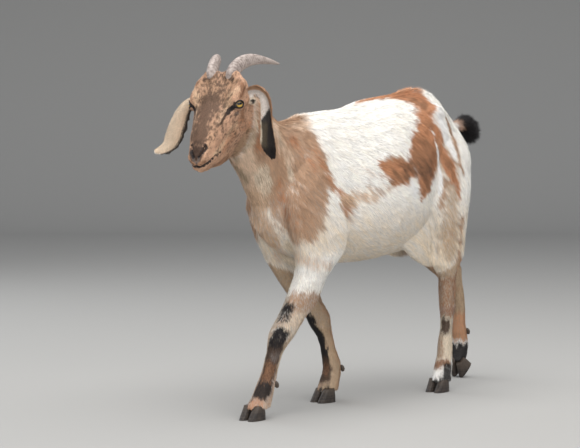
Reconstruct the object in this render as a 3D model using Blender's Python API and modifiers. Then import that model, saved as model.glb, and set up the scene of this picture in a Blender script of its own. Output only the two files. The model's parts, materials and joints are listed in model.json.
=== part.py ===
"""A young lop-eared dairy goat in mid-stride, life size, built as solid pieces.

Places are given in the goat's own terms: metres to its left, ahead of mid-body and above
the floor.  In the world, the goat faces -Y, its left side is +X and the floor is Z = 0.
Sizes run out to the tips of the coat.  The flesh is modelled whole, from ovals stacked
along each part, and thin blades then part it into head, neck, trunk, tail and legs.
"""

import math
from collections import namedtuple

import bmesh
import bpy
import numpy as np
from mathutils import Matrix, Vector

# ---------------------------------------------------------------- driving dimensions
GAP = 0.0003  # clearance that touching pieces keep
GRAIN = 0.005  # voxel that welds the flesh together
SOFTENING = 14  # passes that melt the joints between the stacks
FLESH_FACES = 3780  # triangles left in the flesh
HEAD_CARE = 3e-6  # how far thinning of the mesh spares the head

COLOURS = {  # colour, roughness
    "coat_tan": ((0.50, 0.27, 0.15), 0.85),
    "coat_cream": ((0.82, 0.74, 0.64), 0.85),
    "coat_black": ((0.03, 0.026, 0.025), 0.8),
    "horn": ((0.42, 0.36, 0.33), 0.55),
    "hoof": ((0.06, 0.05, 0.045), 0.5),
    "eye": ((0.55, 0.36, 0.06), 0.08),
}

Oval = namedtuple("Oval", "centre wide over under power")
"""A cross-section: half its width, its reach over and under the centre, and its squareness."""


def at(left, ahead, up):
    """A world place from the goat's own terms."""
    return Vector((left, -ahead, up))


MIDDLE = at(0, 0.1132, 0)  # the point of the floor below the middle of the goat's length
LEFT = at(1, 0, 0)
AHEAD = at(0, 1, 0)
UP = at(0, 0, 1)

# ---------------------------------------------------------------- trunk, neck, tail
TRUNK = [  # ahead, spine, belly, half width, level of that width
    (-0.318, 0.586, 0.515, 0.012, 0.553),  # buttock
    (-0.306, 0.599, 0.480, 0.028, 0.548),
    (-0.282, 0.620, 0.440, 0.047, 0.542),  # root of the tail
    (-0.240, 0.654, 0.395, 0.069, 0.553),  # pelvis
    (-0.190, 0.703, 0.362, 0.079, 0.588),
    (-0.140, 0.729, 0.350, 0.086, 0.605),  # hip bones
    (-0.060, 0.717, 0.338, 0.104, 0.520),  # loin
    (0.040, 0.703, 0.326, 0.118, 0.480),  # barrel
    (0.120, 0.682, 0.323, 0.112, 0.470),  # ribs
    (0.210, 0.674, 0.328, 0.096, 0.470),  # girth
    (0.280, 0.660, 0.342, 0.082, 0.480),  # shoulders
    (0.340, 0.598, 0.372, 0.064, 0.470),  # chest
    (0.383, 0.500, 0.415, 0.032, 0.455),  # breastbone
]

NECK = [  # crest ahead and up, throat ahead and up, left, half width
    (0.190, 0.655, 0.372, 0.395, 0.000, 0.076),
    (0.262, 0.656, 0.392, 0.450, 0.000, 0.066),
    (0.312, 0.653, 0.410, 0.491, 0.002, 0.057),
    (0.350, 0.660, 0.429, 0.523, 0.005, 0.050),
    (0.388, 0.684, 0.455, 0.552, 0.010, 0.045),
    (0.426, 0.716, 0.485, 0.586, 0.016, 0.041),
    (0.458, 0.735, 0.509, 0.622, 0.021, 0.037),
]

TAIL = [  # ahead, up, half width, half depth
    (-0.262, 0.628, 0.014, 0.014),
    (-0.292, 0.641, 0.015, 0.014),
    (-0.316, 0.643, 0.018, 0.016),
    (-0.334, 0.635, 0.021, 0.019),
    (-0.343, 0.616, 0.020, 0.016),
    (-0.344, 0.596, 0.009, 0.007),
]

FLANKS = [  # the fold in front of each thigh: its place, and the way it runs
    (at(0.056, -0.098, 0.372), at(0, -0.90, -0.44)),
    (at(-0.054, -0.118, 0.384), at(0, -0.97, -0.25)),
]

# ---------------------------------------------------------------- legs
# Each row is a level: up, front, back, left, half width.
FORE_REACHING = [
    (0.620, 0.270, 0.200, 0.030, 0.015),  # shoulder blade
    (0.575, 0.315, 0.190, 0.047, 0.027),
    (0.520, 0.345, 0.180, 0.057, 0.034),
    (0.460, 0.362, 0.178, 0.064, 0.038),  # point of the shoulder
    (0.405, 0.352, 0.182, 0.069, 0.039),
    (0.360, 0.338, 0.198, 0.071, 0.037),  # elbow
    (0.330, 0.330, 0.228, 0.070, 0.035),
    (0.310, 0.332, 0.246, 0.068, 0.033),
    (0.290, 0.341, 0.256, 0.066, 0.031),
    (0.270, 0.350, 0.263, 0.064, 0.029),  # forearm
    (0.250, 0.360, 0.271, 0.062, 0.027),
    (0.235, 0.369, 0.283, 0.060, 0.0255),
    (0.220, 0.378, 0.303, 0.059, 0.0245),
    (0.205, 0.391, 0.315, 0.058, 0.0245),
    (0.190, 0.399, 0.327, 0.056, 0.0245),  # knee
    (0.175, 0.403, 0.340, 0.0545, 0.0235),
    (0.160, 0.403, 0.354, 0.053, 0.0210),
    (0.145, 0.405, 0.366, 0.0515, 0.0175),
    (0.125, 0.411, 0.373, 0.050, 0.0165),  # cannon
    (0.105, 0.416, 0.379, 0.048, 0.0165),
    (0.088, 0.422, 0.382, 0.046, 0.0185),  # fetlock
    (0.070, 0.432, 0.386, 0.045, 0.0200),
    (0.052, 0.441, 0.390, 0.044, 0.0210),  # pastern
    (0.036, 0.452, 0.394, 0.043, 0.0225),
    (0.024, 0.457, 0.399, 0.043, 0.0232),
]
FORE_TRAILING = [
    (0.620, 0.270, 0.200, -0.030, 0.015),
    (0.575, 0.315, 0.190, -0.047, 0.027),
    (0.520, 0.340, 0.180, -0.057, 0.034),
    (0.460, 0.352, 0.175, -0.063, 0.038),
    (0.405, 0.335, 0.172, -0.065, 0.038),
    (0.360, 0.312, 0.168, -0.062, 0.036),
    (0.320, 0.288, 0.164, -0.057, 0.032),
    (0.280, 0.260, 0.158, -0.051, 0.028),
    (0.245, 0.234, 0.148, -0.046, 0.0245),
    (0.228, 0.213, 0.140, -0.043, 0.0230),
    (0.212, 0.199, 0.128, -0.042, 0.0225),
    (0.196, 0.187, 0.122, -0.040, 0.0225),
    (0.182, 0.179, 0.122, -0.0385, 0.0220),
    (0.168, 0.169, 0.121, -0.037, 0.0205),
    (0.155, 0.159, 0.118, -0.036, 0.0180),
    (0.140, 0.152, 0.113, -0.035, 0.0165),
    (0.122, 0.147, 0.108, -0.034, 0.0165),
    (0.105, 0.144, 0.101, -0.033, 0.0180),
    (0.088, 0.141, 0.095, -0.032, 0.0195),
    (0.070, 0.142, 0.094, -0.031, 0.0195),
    (0.052, 0.151, 0.098, -0.030, 0.0210),
    (0.036, 0.159, 0.103, -0.029, 0.0225),
    (0.024, 0.164, 0.109, -0.029, 0.0232),
]
HIND_STANDING = [
    (0.680, -0.120, -0.200, 0.035, 0.018),  # haunch
    (0.630, -0.105, -0.237, 0.046, 0.029),
    (0.580, -0.100, -0.262, 0.056, 0.037),
    (0.530, -0.100, -0.258, 0.061, 0.042),  # thigh
    (0.480, -0.104, -0.252, 0.065, 0.043),
    (0.420, -0.114, -0.236, 0.069, 0.041),
    (0.372, -0.126, -0.225, 0.072, 0.036),  # stifle
    (0.335, -0.124, -0.224, 0.072, 0.031),
    (0.315, -0.122, -0.215, 0.072, 0.028),  # gaskin
    (0.298, -0.136, -0.205, 0.072, 0.0250),
    (0.280, -0.150, -0.199, 0.071, 0.0215),
    (0.260, -0.155, -0.198, 0.070, 0.0200),
    (0.230, -0.158, -0.200, 0.068, 0.0195),  # hock
    (0.205, -0.161, -0.203, 0.067, 0.0190),
    (0.180, -0.164, -0.199, 0.066, 0.0158),
    (0.160, -0.165, -0.197, 0.065, 0.0145),  # cannon
    (0.140, -0.163, -0.197, 0.064, 0.0148),
    (0.120, -0.160, -0.198, 0.063, 0.0165),
    (0.100, -0.160, -0.198, 0.062, 0.0178),
    (0.080, -0.158, -0.199, 0.061, 0.0190),  # fetlock
    (0.060, -0.152, -0.200, 0.060, 0.0200),  # pastern
    (0.036, -0.145, -0.197, 0.060, 0.0220),
    (0.024, -0.141, -0.194, 0.060, 0.0228),
]
HIND_PUSHING = [
    (0.680, -0.120, -0.200, -0.035, 0.018),
    (0.630, -0.105, -0.237, -0.046, 0.029),
    (0.580, -0.100, -0.265, -0.056, 0.037),
    (0.530, -0.102, -0.272, -0.061, 0.042),
    (0.480, -0.112, -0.284, -0.065, 0.043),
    (0.420, -0.132, -0.305, -0.068, 0.040),
    (0.372, -0.158, -0.330, -0.070, 0.034),
    (0.335, -0.196, -0.352, -0.070, 0.029),
    (0.305, -0.236, -0.374, -0.069, 0.0255),
    (0.280, -0.276, -0.388, -0.068, 0.0225),
    (0.262, -0.308, -0.391, -0.068, 0.0210),
    (0.246, -0.333, -0.391, -0.068, 0.0200),
    (0.230, -0.350, -0.393, -0.068, 0.0195),
    (0.212, -0.361, -0.397, -0.068, 0.0185),
    (0.192, -0.368, -0.400, -0.067, 0.0165),
    (0.165, -0.373, -0.404, -0.067, 0.0148),
    (0.140, -0.371, -0.404, -0.067, 0.0155),
    (0.120, -0.369, -0.407, -0.067, 0.0178),
    (0.100, -0.370, -0.411, -0.067, 0.0190),
    (0.080, -0.371, -0.414, -0.067, 0.0195),
    (0.056, -0.367, -0.408, -0.067, 0.0205),
    (0.042, -0.360, -0.400, -0.067, 0.0215),
]

# ---------------------------------------------------------------- head
POLL = at(0.022, 0.519, 0.7485)  # top of the forehead, between the horns
HEAD_TURN = math.radians(23)  # to its left
HEAD_DROP = math.radians(50)  # of the face line below level
FACE = at(
    math.sin(HEAD_TURN) * math.cos(HEAD_DROP),
    math.cos(HEAD_TURN) * math.cos(HEAD_DROP),
    -math.sin(HEAD_DROP),
)  # from the poll to the nose
HEAD_LEFT = at(math.cos(HEAD_TURN), -math.sin(HEAD_TURN), 0)
BROW = FACE.cross(HEAD_LEFT)  # straight out of the forehead
if BROW.dot(UP) < 0:
    BROW = -BROW

HEAD = [  # along the face, forehead side, level of the width, throat side, half width, squareness
    (-0.036, -0.034, -0.060, -0.085, 0.032, 2.1),
    (-0.014, -0.008, -0.050, -0.104, 0.044, 2.3),  # poll
    (0.012, 0.002, -0.040, -0.120, 0.051, 2.5),
    (0.042, 0.004, -0.036, -0.130, 0.052, 2.4),  # forehead
    (0.070, 0.003, -0.032, -0.130, 0.051, 2.1),  # eyes and angle of the jaw
    (0.100, 0.004, -0.032, -0.132, 0.0455, 2.1),
    (0.130, 0.004, -0.033, -0.127, 0.0395, 2.2),  # bridge of the nose
    (0.160, 0.002, -0.034, -0.109, 0.0345, 2.2),
    (0.186, -0.003, -0.034, -0.084, 0.0278, 2.2),  # corner of the mouth
    (0.208, -0.010, -0.034, -0.065, 0.0214, 2.2),  # nostrils
    (0.224, -0.022, -0.038, -0.053, 0.0130, 2.1),  # lips
]

EYE_ALONG = 0.0627
EYE_OUT = 0.0498
EYE_DEEP = -0.021
EYE_RADIUS = 0.0125

Blob = namedtuple("Blob", "along out brow radii")
HEAD_BLOBS = {  # on one side; they are mirrored
    "crown": Blob(0.003, 0.021, -0.009, (0.026, 0.027, 0.016)),
    "temple": Blob(0.024, 0.041, -0.015, (0.032, 0.018, 0.019)),
    "brow ridge": Blob(0.050, 0.041, -0.010, (0.030, 0.018, 0.015)),
    "cheek": Blob(0.080, 0.032, -0.070, (0.046, 0.018, 0.038)),
    "ear root": Blob(0.028, 0.046, -0.044, (0.016, 0.014, 0.016)),
    "nostril": Blob(0.203, 0.012, -0.020, (0.015, 0.010, 0.011)),
}

HORN = [  # back, out, up of the base, half its depth, half its width
    (-0.001, -0.005, -0.026, 0.0120, 0.0100),
    (0.004, -0.002, 0.000, 0.0178, 0.0120),
    (0.020, 0.002, 0.0155, 0.0178, 0.0114),
    (0.040, 0.007, 0.026, 0.0162, 0.0104),
    (0.068, 0.015, 0.033, 0.0134, 0.0090),
    (0.097, 0.026, 0.0335, 0.0098, 0.0072),
    (0.126, 0.038, 0.0300, 0.0060, 0.0050),
    (0.151, 0.048, 0.0255, 0.0018, 0.0018),
]
HORN_ALONG, HORN_OUT = -0.004, 0.0250

EAR_THICK = 0.0062
EAR_ROOM = 0.0024  # the bend at an ear's root needs a wider seat
# Each row is a step down the ear: the place of its midline, its half width, the depth of
# its cup, and the way its inner face looks.
EAR_LEFT = [
    (0.046, 0.474, 0.698, 0.010, 0.006, (0.2, 0.9, -0.4)),
    (0.058, 0.470, 0.712, 0.012, 0.009, (0.1, 0.8, -0.6)),
    (0.074, 0.462, 0.721, 0.016, 0.012, (0.0, 0.8, -0.6)),
    (0.088, 0.453, 0.707, 0.018, 0.012, (0.0, 0.95, -0.3)),
    (0.092, 0.448, 0.682, 0.019, 0.012, (0.0, 1.0, 0.0)),
    (0.092, 0.448, 0.658, 0.020, 0.011, (0.0, 1.0, 0.0)),
    (0.092, 0.447, 0.633, 0.022, 0.010, (0.0, 1.0, 0.0)),
    (0.094, 0.446, 0.607, 0.025, 0.009, (0.0, 1.0, 0.0)),
    (0.097, 0.442, 0.588, 0.020, 0.007, (0.0, 1.0, 0.0)),
    (0.100, 0.437, 0.571, 0.006, 0.003, (0.0, 1.0, 0.0)),
]
EAR_RIGHT = [
    (-0.0295, 0.5245, 0.690, 0.009, 0.004, (0.0, -0.7, -0.7)),
    (-0.0435, 0.5315, 0.698, 0.012, 0.007, (-0.1, -0.8, -0.6)),
    (-0.058, 0.542, 0.688, 0.018, 0.01, (-0.3, -0.8, -0.5)),
    (-0.067, 0.552, 0.665, 0.0215, 0.011, (-0.4, -0.85, -0.35)),
    (-0.073, 0.559, 0.640, 0.0245, 0.01, (-0.4, -0.85, -0.3)),
    (-0.080, 0.566, 0.615, 0.0250, 0.009, (-0.4, -0.8, -0.4)),
    (-0.092, 0.575, 0.596, 0.0225, 0.008, (-0.3, -0.7, -0.6)),
    (-0.112, 0.589, 0.586, 0.009, 0.004, (-0.1, -0.5, -0.85)),
]

# ---------------------------------------------------------------- feet
HOOF_HALF, HOOF_TALL = 0.0105, 0.031
HOOF = [  # height, front and back from the tip of the toe, share of the width
    (0, 0, -0.050, 1.0),
    (HOOF_TALL / 2, -0.010, -0.049, 0.98),
    (HOOF_TALL, -0.020, -0.046, 0.92),
]
DEWCLAW = (0.0062, 0.0058, 0.0095)  # half its width, depth and length
Foot = namedtuple("Foot", "toe pitch turn fetlock")
FEET = {  # tip of the toes on the floor, heel lift, turn-out, back of the fetlock
    "fore_left": Foot(at(0.043, 0.470, 0), 0, 6, at(0.046, 0.386, 0.074)),
    "fore_right": Foot(at(-0.029, 0.178, 0), 0, -4, at(-0.031, 0.094, 0.074)),
    "hind_left": Foot(at(0.060, -0.131, 0), 0, 6, at(0.060, -0.197, 0.074)),
    "hind_right": Foot(at(-0.067, -0.380, -0.0015), 50, -6, at(-0.067, -0.409, 0.116)),
}


# ---------------------------------------------------------------- modelling helpers
def clear_scene():
    for obj in list(bpy.data.objects):
        bpy.data.objects.remove(obj, do_unlink=True)


def collection(name, shown=True):
    made = bpy.data.collections.new(name)
    made.hide_render = not shown
    bpy.context.scene.collection.children.link(made)
    return made


def material(name):
    """A Principled finish from the table of colours."""
    found = bpy.data.materials.get(name)
    if found:
        return found
    colour, roughness = COLOURS[name]
    made = bpy.data.materials.new(name)
    made.use_nodes = True
    shader = made.node_tree.nodes["Principled BSDF"]
    shader.inputs["Base Color"].default_value = (*colour, 1)
    shader.inputs["Roughness"].default_value = roughness
    made.diffuse_color = (*colour, 1)
    return made


def put(name, mesh, finish, home):
    """An object of this mesh, smooth-shaded, in the collection home."""
    made = bpy.data.objects.new(name, mesh)
    home.objects.link(made)
    if home is WORKSHOP:
        made.hide_render = True
        made.display_type = "WIRE"
    mesh.materials.clear()
    mesh.materials.append(material(finish))
    mesh.shade_smooth()
    mesh.set_sharp_from_angle(angle=math.radians(40))
    return made


def eased(rows, steps):
    """Catmull-Rom points through rows of numbers, with `steps` to each gap."""
    rows = np.array(rows, float)
    padded = np.vstack([2 * rows[0] - rows[1], rows, 2 * rows[-1] - rows[-2]])
    made = []
    for a, b, c, d in zip(padded, padded[1:], padded[2:], padded[3:]):
        for t in np.arange(steps) / steps:
            made.append(
                b
                + 0.5 * t * (c - a)
                + t**2 * (a - 2.5 * b + 2 * c - 0.5 * d)
                + t**3 * (1.5 * (b - c) + 0.5 * (d - a))
            )
    return np.vstack([*made, rows[-1:]])


def oval_ring(oval, side, over, count):
    """Points round one oval.  A squareness of 2 is an ellipse, and more is boxier."""
    bend = 2 / oval.power
    ring = []
    for k in range(count):
        angle = 2 * math.pi * k / count
        c, s = math.cos(angle), math.sin(angle)
        reach = oval.over if s > 0 else oval.under
        x = math.copysign(abs(c) ** bend, c) * oval.wide
        y = math.copysign(abs(s) ** bend, s) * reach
        ring.append(oval.centre + side * x + over * y)
    return ring


def stack(name, ovals, axis, over, count=24, steps=4):
    """A closed mesh through ovals.  Each lies across the line of their centres, or across
    `axis` where one is given, and `over` points to its upper side."""
    rows = [(*o.centre, o.wide, o.over, o.under, o.power) for o in ovals]
    ovals = [Oval(Vector(r[:3]), *np.maximum(r[3:], 1e-4)) for r in eased(rows, steps)]
    bm = bmesh.new()
    rings = []
    for i, oval in enumerate(ovals):
        before, after = ovals[max(i - 1, 0)], ovals[min(i + 1, len(ovals) - 1)]
        along = axis or (after.centre - before.centre).normalized()
        side = over.cross(along).normalized()
        up = along.cross(side).normalized()
        rings.append([bm.verts.new(p) for p in oval_ring(oval, side, up, count)])
    for a, b in zip(rings, rings[1:]):
        for k in range(count):
            n = (k + 1) % count
            bm.faces.new((a[k], a[n], b[n], b[k]))
    bm.faces.new(rings[0])
    bm.faces.new(rings[-1])
    bmesh.ops.recalc_face_normals(bm, faces=bm.faces)
    mesh = bpy.data.meshes.new(name)
    bm.to_mesh(mesh)
    bm.free()
    return mesh


def lump(name, centre, axes, radii, around=20, stacks=12):
    """An ellipsoid with its radii along three axes."""
    bm = bmesh.new()
    bmesh.ops.create_uvsphere(bm, u_segments=around, v_segments=stacks, radius=1)
    columns = [axis.normalized() * radius for axis, radius in zip(axes, radii)]
    frame = Matrix(columns).transposed().to_4x4()
    frame.translation = centre
    bmesh.ops.transform(bm, matrix=frame, verts=bm.verts)
    bmesh.ops.recalc_face_normals(bm, faces=bm.faces)
    mesh = bpy.data.meshes.new(name)
    bm.to_mesh(mesh)
    bm.free()
    return mesh


def joined(name, meshes):
    """One mesh that holds all of these."""
    bm = bmesh.new()
    for mesh in meshes:
        bm.from_mesh(mesh)
        bpy.data.meshes.remove(mesh)
    made = bpy.data.meshes.new(name)
    bm.to_mesh(made)
    bm.free()
    return made


def evaluated(obj, name):
    """The object's mesh with its modifiers, and the object removed."""
    graph = bpy.context.evaluated_depsgraph_get()
    mesh = bpy.data.meshes.new_from_object(obj.evaluated_get(graph))
    mesh.name = name
    bpy.data.objects.remove(obj, do_unlink=True)
    return mesh


def cut(obj, cutter, operation="DIFFERENCE"):
    """Adds a Boolean by a cutter object."""
    step = obj.modifiers.new(cutter.name, "BOOLEAN")
    step.operation = operation
    step.solver = "EXACT"
    step.object = cutter
    return step


def soften(mesh, passes):
    """Taubin smoothing: each pass shrinks the mesh a little and swells it back, which melts
    creases and keeps thin legs thick."""
    count = len(mesh.vertices)
    points = np.empty(count * 3)
    mesh.vertices.foreach_get("co", points)
    points = points.reshape(-1, 3)
    ends = np.empty(len(mesh.edges) * 2, int)
    mesh.edges.foreach_get("vertices", ends)
    a, b = ends.reshape(-1, 2).T
    links = np.bincount(np.concatenate([a, b]), minlength=count)[:, None]
    for step in (0.6, -0.63) * passes:
        total = np.zeros_like(points)
        np.add.at(total, a, points[b])
        np.add.at(total, b, points[a])
        points += step * (total / links - points)
    mesh.vertices.foreach_set("co", points.ravel())


# ---------------------------------------------------------------- the flesh
def trunk():
    ovals = [
        Oval(at(0, ahead, level), half, spine - level, level - belly, 2.05)
        for ahead, spine, belly, half, level in TRUNK
    ]
    return stack("trunk", ovals, AHEAD, UP, count=32)


def hip_bones():
    """The two knobs of the pelvis that show under the skin of the croup."""
    return [
        lump("hip", at(side * 0.058, -0.132, 0.664), (AHEAD, LEFT, UP), (0.044, 0.021, 0.030))
        for side in (-1, 1)
    ]


def neck():
    ovals = []
    for crest_ahead, crest_up, throat_ahead, throat_up, left, half in NECK:
        crest = at(left, crest_ahead, crest_up)
        throat = at(left, throat_ahead, throat_up)
        reach = (crest - throat).length / 2
        ovals.append(Oval((crest + throat) / 2, half, reach, reach, 2.0))
    return stack("neck", ovals, None, at(0, -0.7, 0.7), count=28)


def flanks():
    """The folds of skin from the belly to the stifles."""
    folds = []
    for place, slope in FLANKS:
        across = slope.cross(LEFT)
        folds.append(lump("flank", place, (slope, LEFT, across), (0.090, 0.016, 0.058)))
    return folds


def tail():
    ovals = [Oval(at(0, a, u), w, d, d, 2.0) for a, u, w, d in TAIL]
    return stack("tail", ovals, None, UP, count=16)


def leg(levels):
    """A leg as level ovals between its front and back outlines."""
    ovals = [
        Oval(at(left, (front + back) / 2, up), half, (front - back) / 2, (front - back) / 2, 2.2)
        for up, front, back, left, half in levels
    ]
    return stack("leg", ovals, UP, AHEAD, count=20)


def head_place(along, out, brow):
    """A place on the head: along the face line, out to its left, and out of the forehead."""
    return POLL + FACE * along + HEAD_LEFT * out + BROW * brow


def head():
    ovals = []
    for along, top, level, bottom, half, power in HEAD:
        centre = head_place(along, 0, level)
        ovals.append(Oval(centre, half, top - level, level - bottom, power))
    pieces = [stack("skull", ovals, FACE, BROW, count=28)]
    for name, blob in HEAD_BLOBS.items():
        for side in (-1, 1):
            centre = head_place(blob.along, side * blob.out, blob.brow)
            pieces.append(lump(name, centre, (FACE, HEAD_LEFT, BROW), blob.radii))
    return pieces


def flesh():
    """Head, neck, trunk, tail and legs, welded into one skin and thinned."""
    pieces = [trunk(), neck(), tail(), *hip_bones(), *flanks(), *head()]
    for levels in (FORE_REACHING, FORE_TRAILING, HIND_STANDING, HIND_PUSHING):
        pieces.append(leg(levels))
    whole = put("flesh", joined("flesh", pieces), "coat_tan", WORKSHOP)
    weld = whole.modifiers.new("weld", "REMESH")
    weld.mode = "VOXEL"
    weld.voxel_size = GRAIN
    mesh = evaluated(whole, "flesh")
    soften(mesh, SOFTENING)
    whole = put("flesh", mesh, "coat_tan", WORKSHOP)
    spared = whole.vertex_groups.new(name="thinned freely")
    spared.add(range(len(mesh.vertices)), 1.0, "REPLACE")
    face = [v.index for v in mesh.vertices if (v.co - POLL).dot(at(0, 0.8, 0.6)) > -0.13]
    spared.add(face, 0.02, "REPLACE")
    thin = whole.modifiers.new("thin", "DECIMATE")
    thin.ratio = FLESH_FACES / (2 * len(mesh.polygons))
    thin.vertex_group = spared.name
    thin.vertex_group_factor = HEAD_CARE
    return put("flesh", evaluated(whole, "flesh"), "coat_tan", WORKSHOP)


# ---------------------------------------------------------------- thin cuts
Blade = namedtuple("Blade", "middle normal long broad")
BLADES = {  # plates that part the flesh: middle, the way the cut faces, and size
    "nape": Blade(at(0.018, 0.462, 0.655), at(0.10, 0.97, 0.20), 0.26, 0.24),
    "withers": Blade(at(0, 0.338, 0.545), at(0, 0.83, 0.56), 0.34, 0.28),
    "dock": Blade(at(0, -0.300, 0.642), at(0, 1, -0.15), 0.10, 0.10),
    "left elbow": Blade(at(0.078, 0.275, 0.350), at(-0.75, 0, 1), 0.24, 0.16),
    "right elbow": Blade(at(-0.078, 0.245, 0.350), at(0.75, 0, 1), 0.20, 0.16),
    "left stifle": Blade(at(0.072, -0.175, 0.322), at(0, 0.59, 0.81), 0.22, 0.13),
    "right stifle": Blade(at(-0.068, -0.255, 0.365), at(0, 0.41, 0.91), 0.26, 0.13),
    "left knee": Blade(at(0.054, 0.372, 0.176), at(0, 0.1, 1), 0.12, 0.08),
    "right knee": Blade(at(-0.038, 0.150, 0.177), at(0, -0.3, 1), 0.10, 0.08),
    "left hock": Blade(at(0.067, -0.182, 0.212), at(0, 0.1, 1), 0.12, 0.08),
    "right hock": Blade(at(-0.068, -0.378, 0.226), at(0, 0.3, 1), 0.12, 0.08),
}


def plate(name, blade):
    """A plate GAP thick across the blade's normal, long fore and aft or up and down."""
    normal = blade.normal.normalized()
    side = UP if abs(normal.dot(LEFT)) > 0.9 else LEFT
    along = side.cross(normal).normalized()
    across = normal.cross(along)
    bm = bmesh.new()
    bmesh.ops.create_cube(bm, size=1)
    columns = (along * blade.long, across * blade.broad, normal * GAP)
    frame = Matrix(columns).transposed().to_4x4()
    frame.translation = blade.middle
    bmesh.ops.transform(bm, matrix=frame, verts=bm.verts)
    bmesh.ops.recalc_face_normals(bm, faces=bm.faces)
    mesh = bpy.data.meshes.new(name)
    bm.to_mesh(mesh)
    bm.free()
    return mesh


PIECES = {  # name of each piece that the blades leave: a place inside it, and its finish
    "head": (head_place(0.10, 0, -0.05), "coat_tan"),
    "neck": (at(0.005, 0.40, 0.60), "coat_tan"),
    "trunk": (at(0, 0.0, 0.52), "coat_cream"),
    "tail": (at(0, -0.350, 0.630), "coat_black"),
    "fore_leg_left": (at(0.065, 0.31, 0.29), "coat_cream"),
    "fore_shank_left": (at(0.048, 0.39, 0.10), "coat_tan"),
    "fore_leg_right": (at(-0.06, 0.23, 0.29), "coat_tan"),
    "fore_shank_right": (at(-0.03, 0.13, 0.10), "coat_tan"),
    "hind_leg_left": (at(0.075, -0.16, 0.34), "coat_tan"),
    "hind_shank_left": (at(0.062, -0.16, 0.12), "coat_tan"),
    "hind_leg_right": (at(-0.07, -0.22, 0.36), "coat_tan"),
    "hind_shank_right": (at(-0.066, -0.40, 0.13), "coat_tan"),
}


def islands(mesh):
    """The loose parts of a mesh, each a list of vertex numbers in order."""
    home = list(range(len(mesh.vertices)))

    def root(v):
        while home[v] != v:
            home[v] = home[home[v]]
            v = home[v]
        return v

    for edge in mesh.edges:
        a, b = (root(v) for v in edge.vertices)
        home[max(a, b)] = min(a, b)
    found = {}
    for v in range(len(home)):
        found.setdefault(root(v), []).append(v)
    return list(found.values())


def parted(whole):
    """The flesh cut by the blades, each loose part its own object."""
    mesh = joined("blades", [plate(name, blade) for name, blade in BLADES.items()])
    cut(whole, put("blades", mesh, "coat_tan", WORKSHOP))
    mesh = evaluated(whole, "flesh")
    made = {}
    for island in islands(mesh):
        middle = sum((mesh.vertices[v].co for v in island), Vector()) / len(island)
        name = min(PIECES, key=lambda n: (PIECES[n][0] - middle).length)
        place = {v: i for i, v in enumerate(island)}
        faces = [[place[v] for v in f.vertices] for f in mesh.polygons if f.vertices[0] in place]
        piece = bpy.data.meshes.new(name)
        piece.from_pydata([mesh.vertices[v].co[:] for v in island], [], faces)
        made[name] = put(name, piece, PIECES[name][1], GOAT)
    return made


# ---------------------------------------------------------------- eyes, horns, ears
# Each maker takes `room`, the clearance it grows by to cut its own seat in the flesh.
def eye_mesh(name, side, room=0):
    bm = bmesh.new()
    bmesh.ops.create_icosphere(bm, subdivisions=2, radius=EYE_RADIUS + room)
    centre = head_place(EYE_ALONG, side * EYE_OUT, EYE_DEEP)
    bmesh.ops.translate(bm, verts=bm.verts, vec=centre)
    mesh = bpy.data.meshes.new(name)
    bm.to_mesh(mesh)
    bm.free()
    return mesh


def horn_mesh(name, side, room=0):
    back = at(-math.sin(HEAD_TURN), -math.cos(HEAD_TURN), 0)
    base = head_place(HORN_ALONG, side * HORN_OUT, 0)
    ovals = []
    for behind, out, up, deep, wide in HORN:
        place = base + back * behind + HEAD_LEFT * (side * out) + UP * up
        ovals.append(Oval(place, deep + room, wide + room, wide + room, 2.0))
    ovals[0] = ovals[0]._replace(centre=ovals[0].centre - UP * room)
    return stack(name, ovals, None, HEAD_LEFT, count=12, steps=2)


def ear_mesh(name, rows, room=0):
    """A cupped leaf: each row is a ring, out along its back and home along its hollow."""
    table = eased([(*at(*row[:3]), row[3], row[4], *at(*row[5])) for row in rows], 2)
    half = [-1, -0.82, -0.45, 0, 0.45, 0.82, 1]
    bm = bmesh.new()
    rings = []
    for i, row in enumerate(table):
        middle, inner = Vector(row[:3]), Vector(row[5:]).normalized()
        before, after = table[max(i - 1, 0)], table[min(i + 1, len(table) - 1)]
        down = (Vector(after[:3]) - Vector(before[:3])).normalized()
        across = inner.cross(down).normalized()
        inner = down.cross(across).normalized()
        if i == 0:
            middle -= down * room
        ring = []
        for face, shares in ((-1, half), (1, half[-2:0:-1])):
            for t in shares:
                thick = (EAR_THICK / 2 + room) * math.sqrt(max(1 - t * t, 0))
                lift = row[4] * (t * t - 0.5) + face * thick
                ring.append(bm.verts.new(middle + across * ((row[3] + room) * t) + inner * lift))
        rings.append(ring)
    for a, b in zip(rings, rings[1:]):
        for k in range(len(a)):
            n = (k + 1) % len(a)
            bm.faces.new((a[k], a[n], b[n], b[k]))
    bm.faces.new(rings[0])
    bm.faces.new(rings[-1])
    bmesh.ops.recalc_face_normals(bm, faces=bm.faces)
    mesh = bpy.data.meshes.new(name)
    bm.to_mesh(mesh)
    bm.free()
    return mesh


# ---------------------------------------------------------------- hooves
def flat_below(mesh):
    """The mesh without what reaches below the floor, closed by a flat at that level."""
    bm = bmesh.new()
    bm.from_mesh(mesh)
    everything = [*bm.verts, *bm.edges, *bm.faces]
    made = bmesh.ops.bisect_plane(
        bm, geom=everything, plane_co=(0, 0, 0), plane_no=(0, 0, -1), clear_outer=True
    )
    rim = [part for part in made["geom_cut"] if isinstance(part, bmesh.types.BMEdge)]
    bmesh.ops.edgeloop_fill(bm, edges=rim)
    bmesh.ops.recalc_face_normals(bm, faces=bm.faces)
    bm.to_mesh(mesh)
    bm.free()
    return mesh


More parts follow.
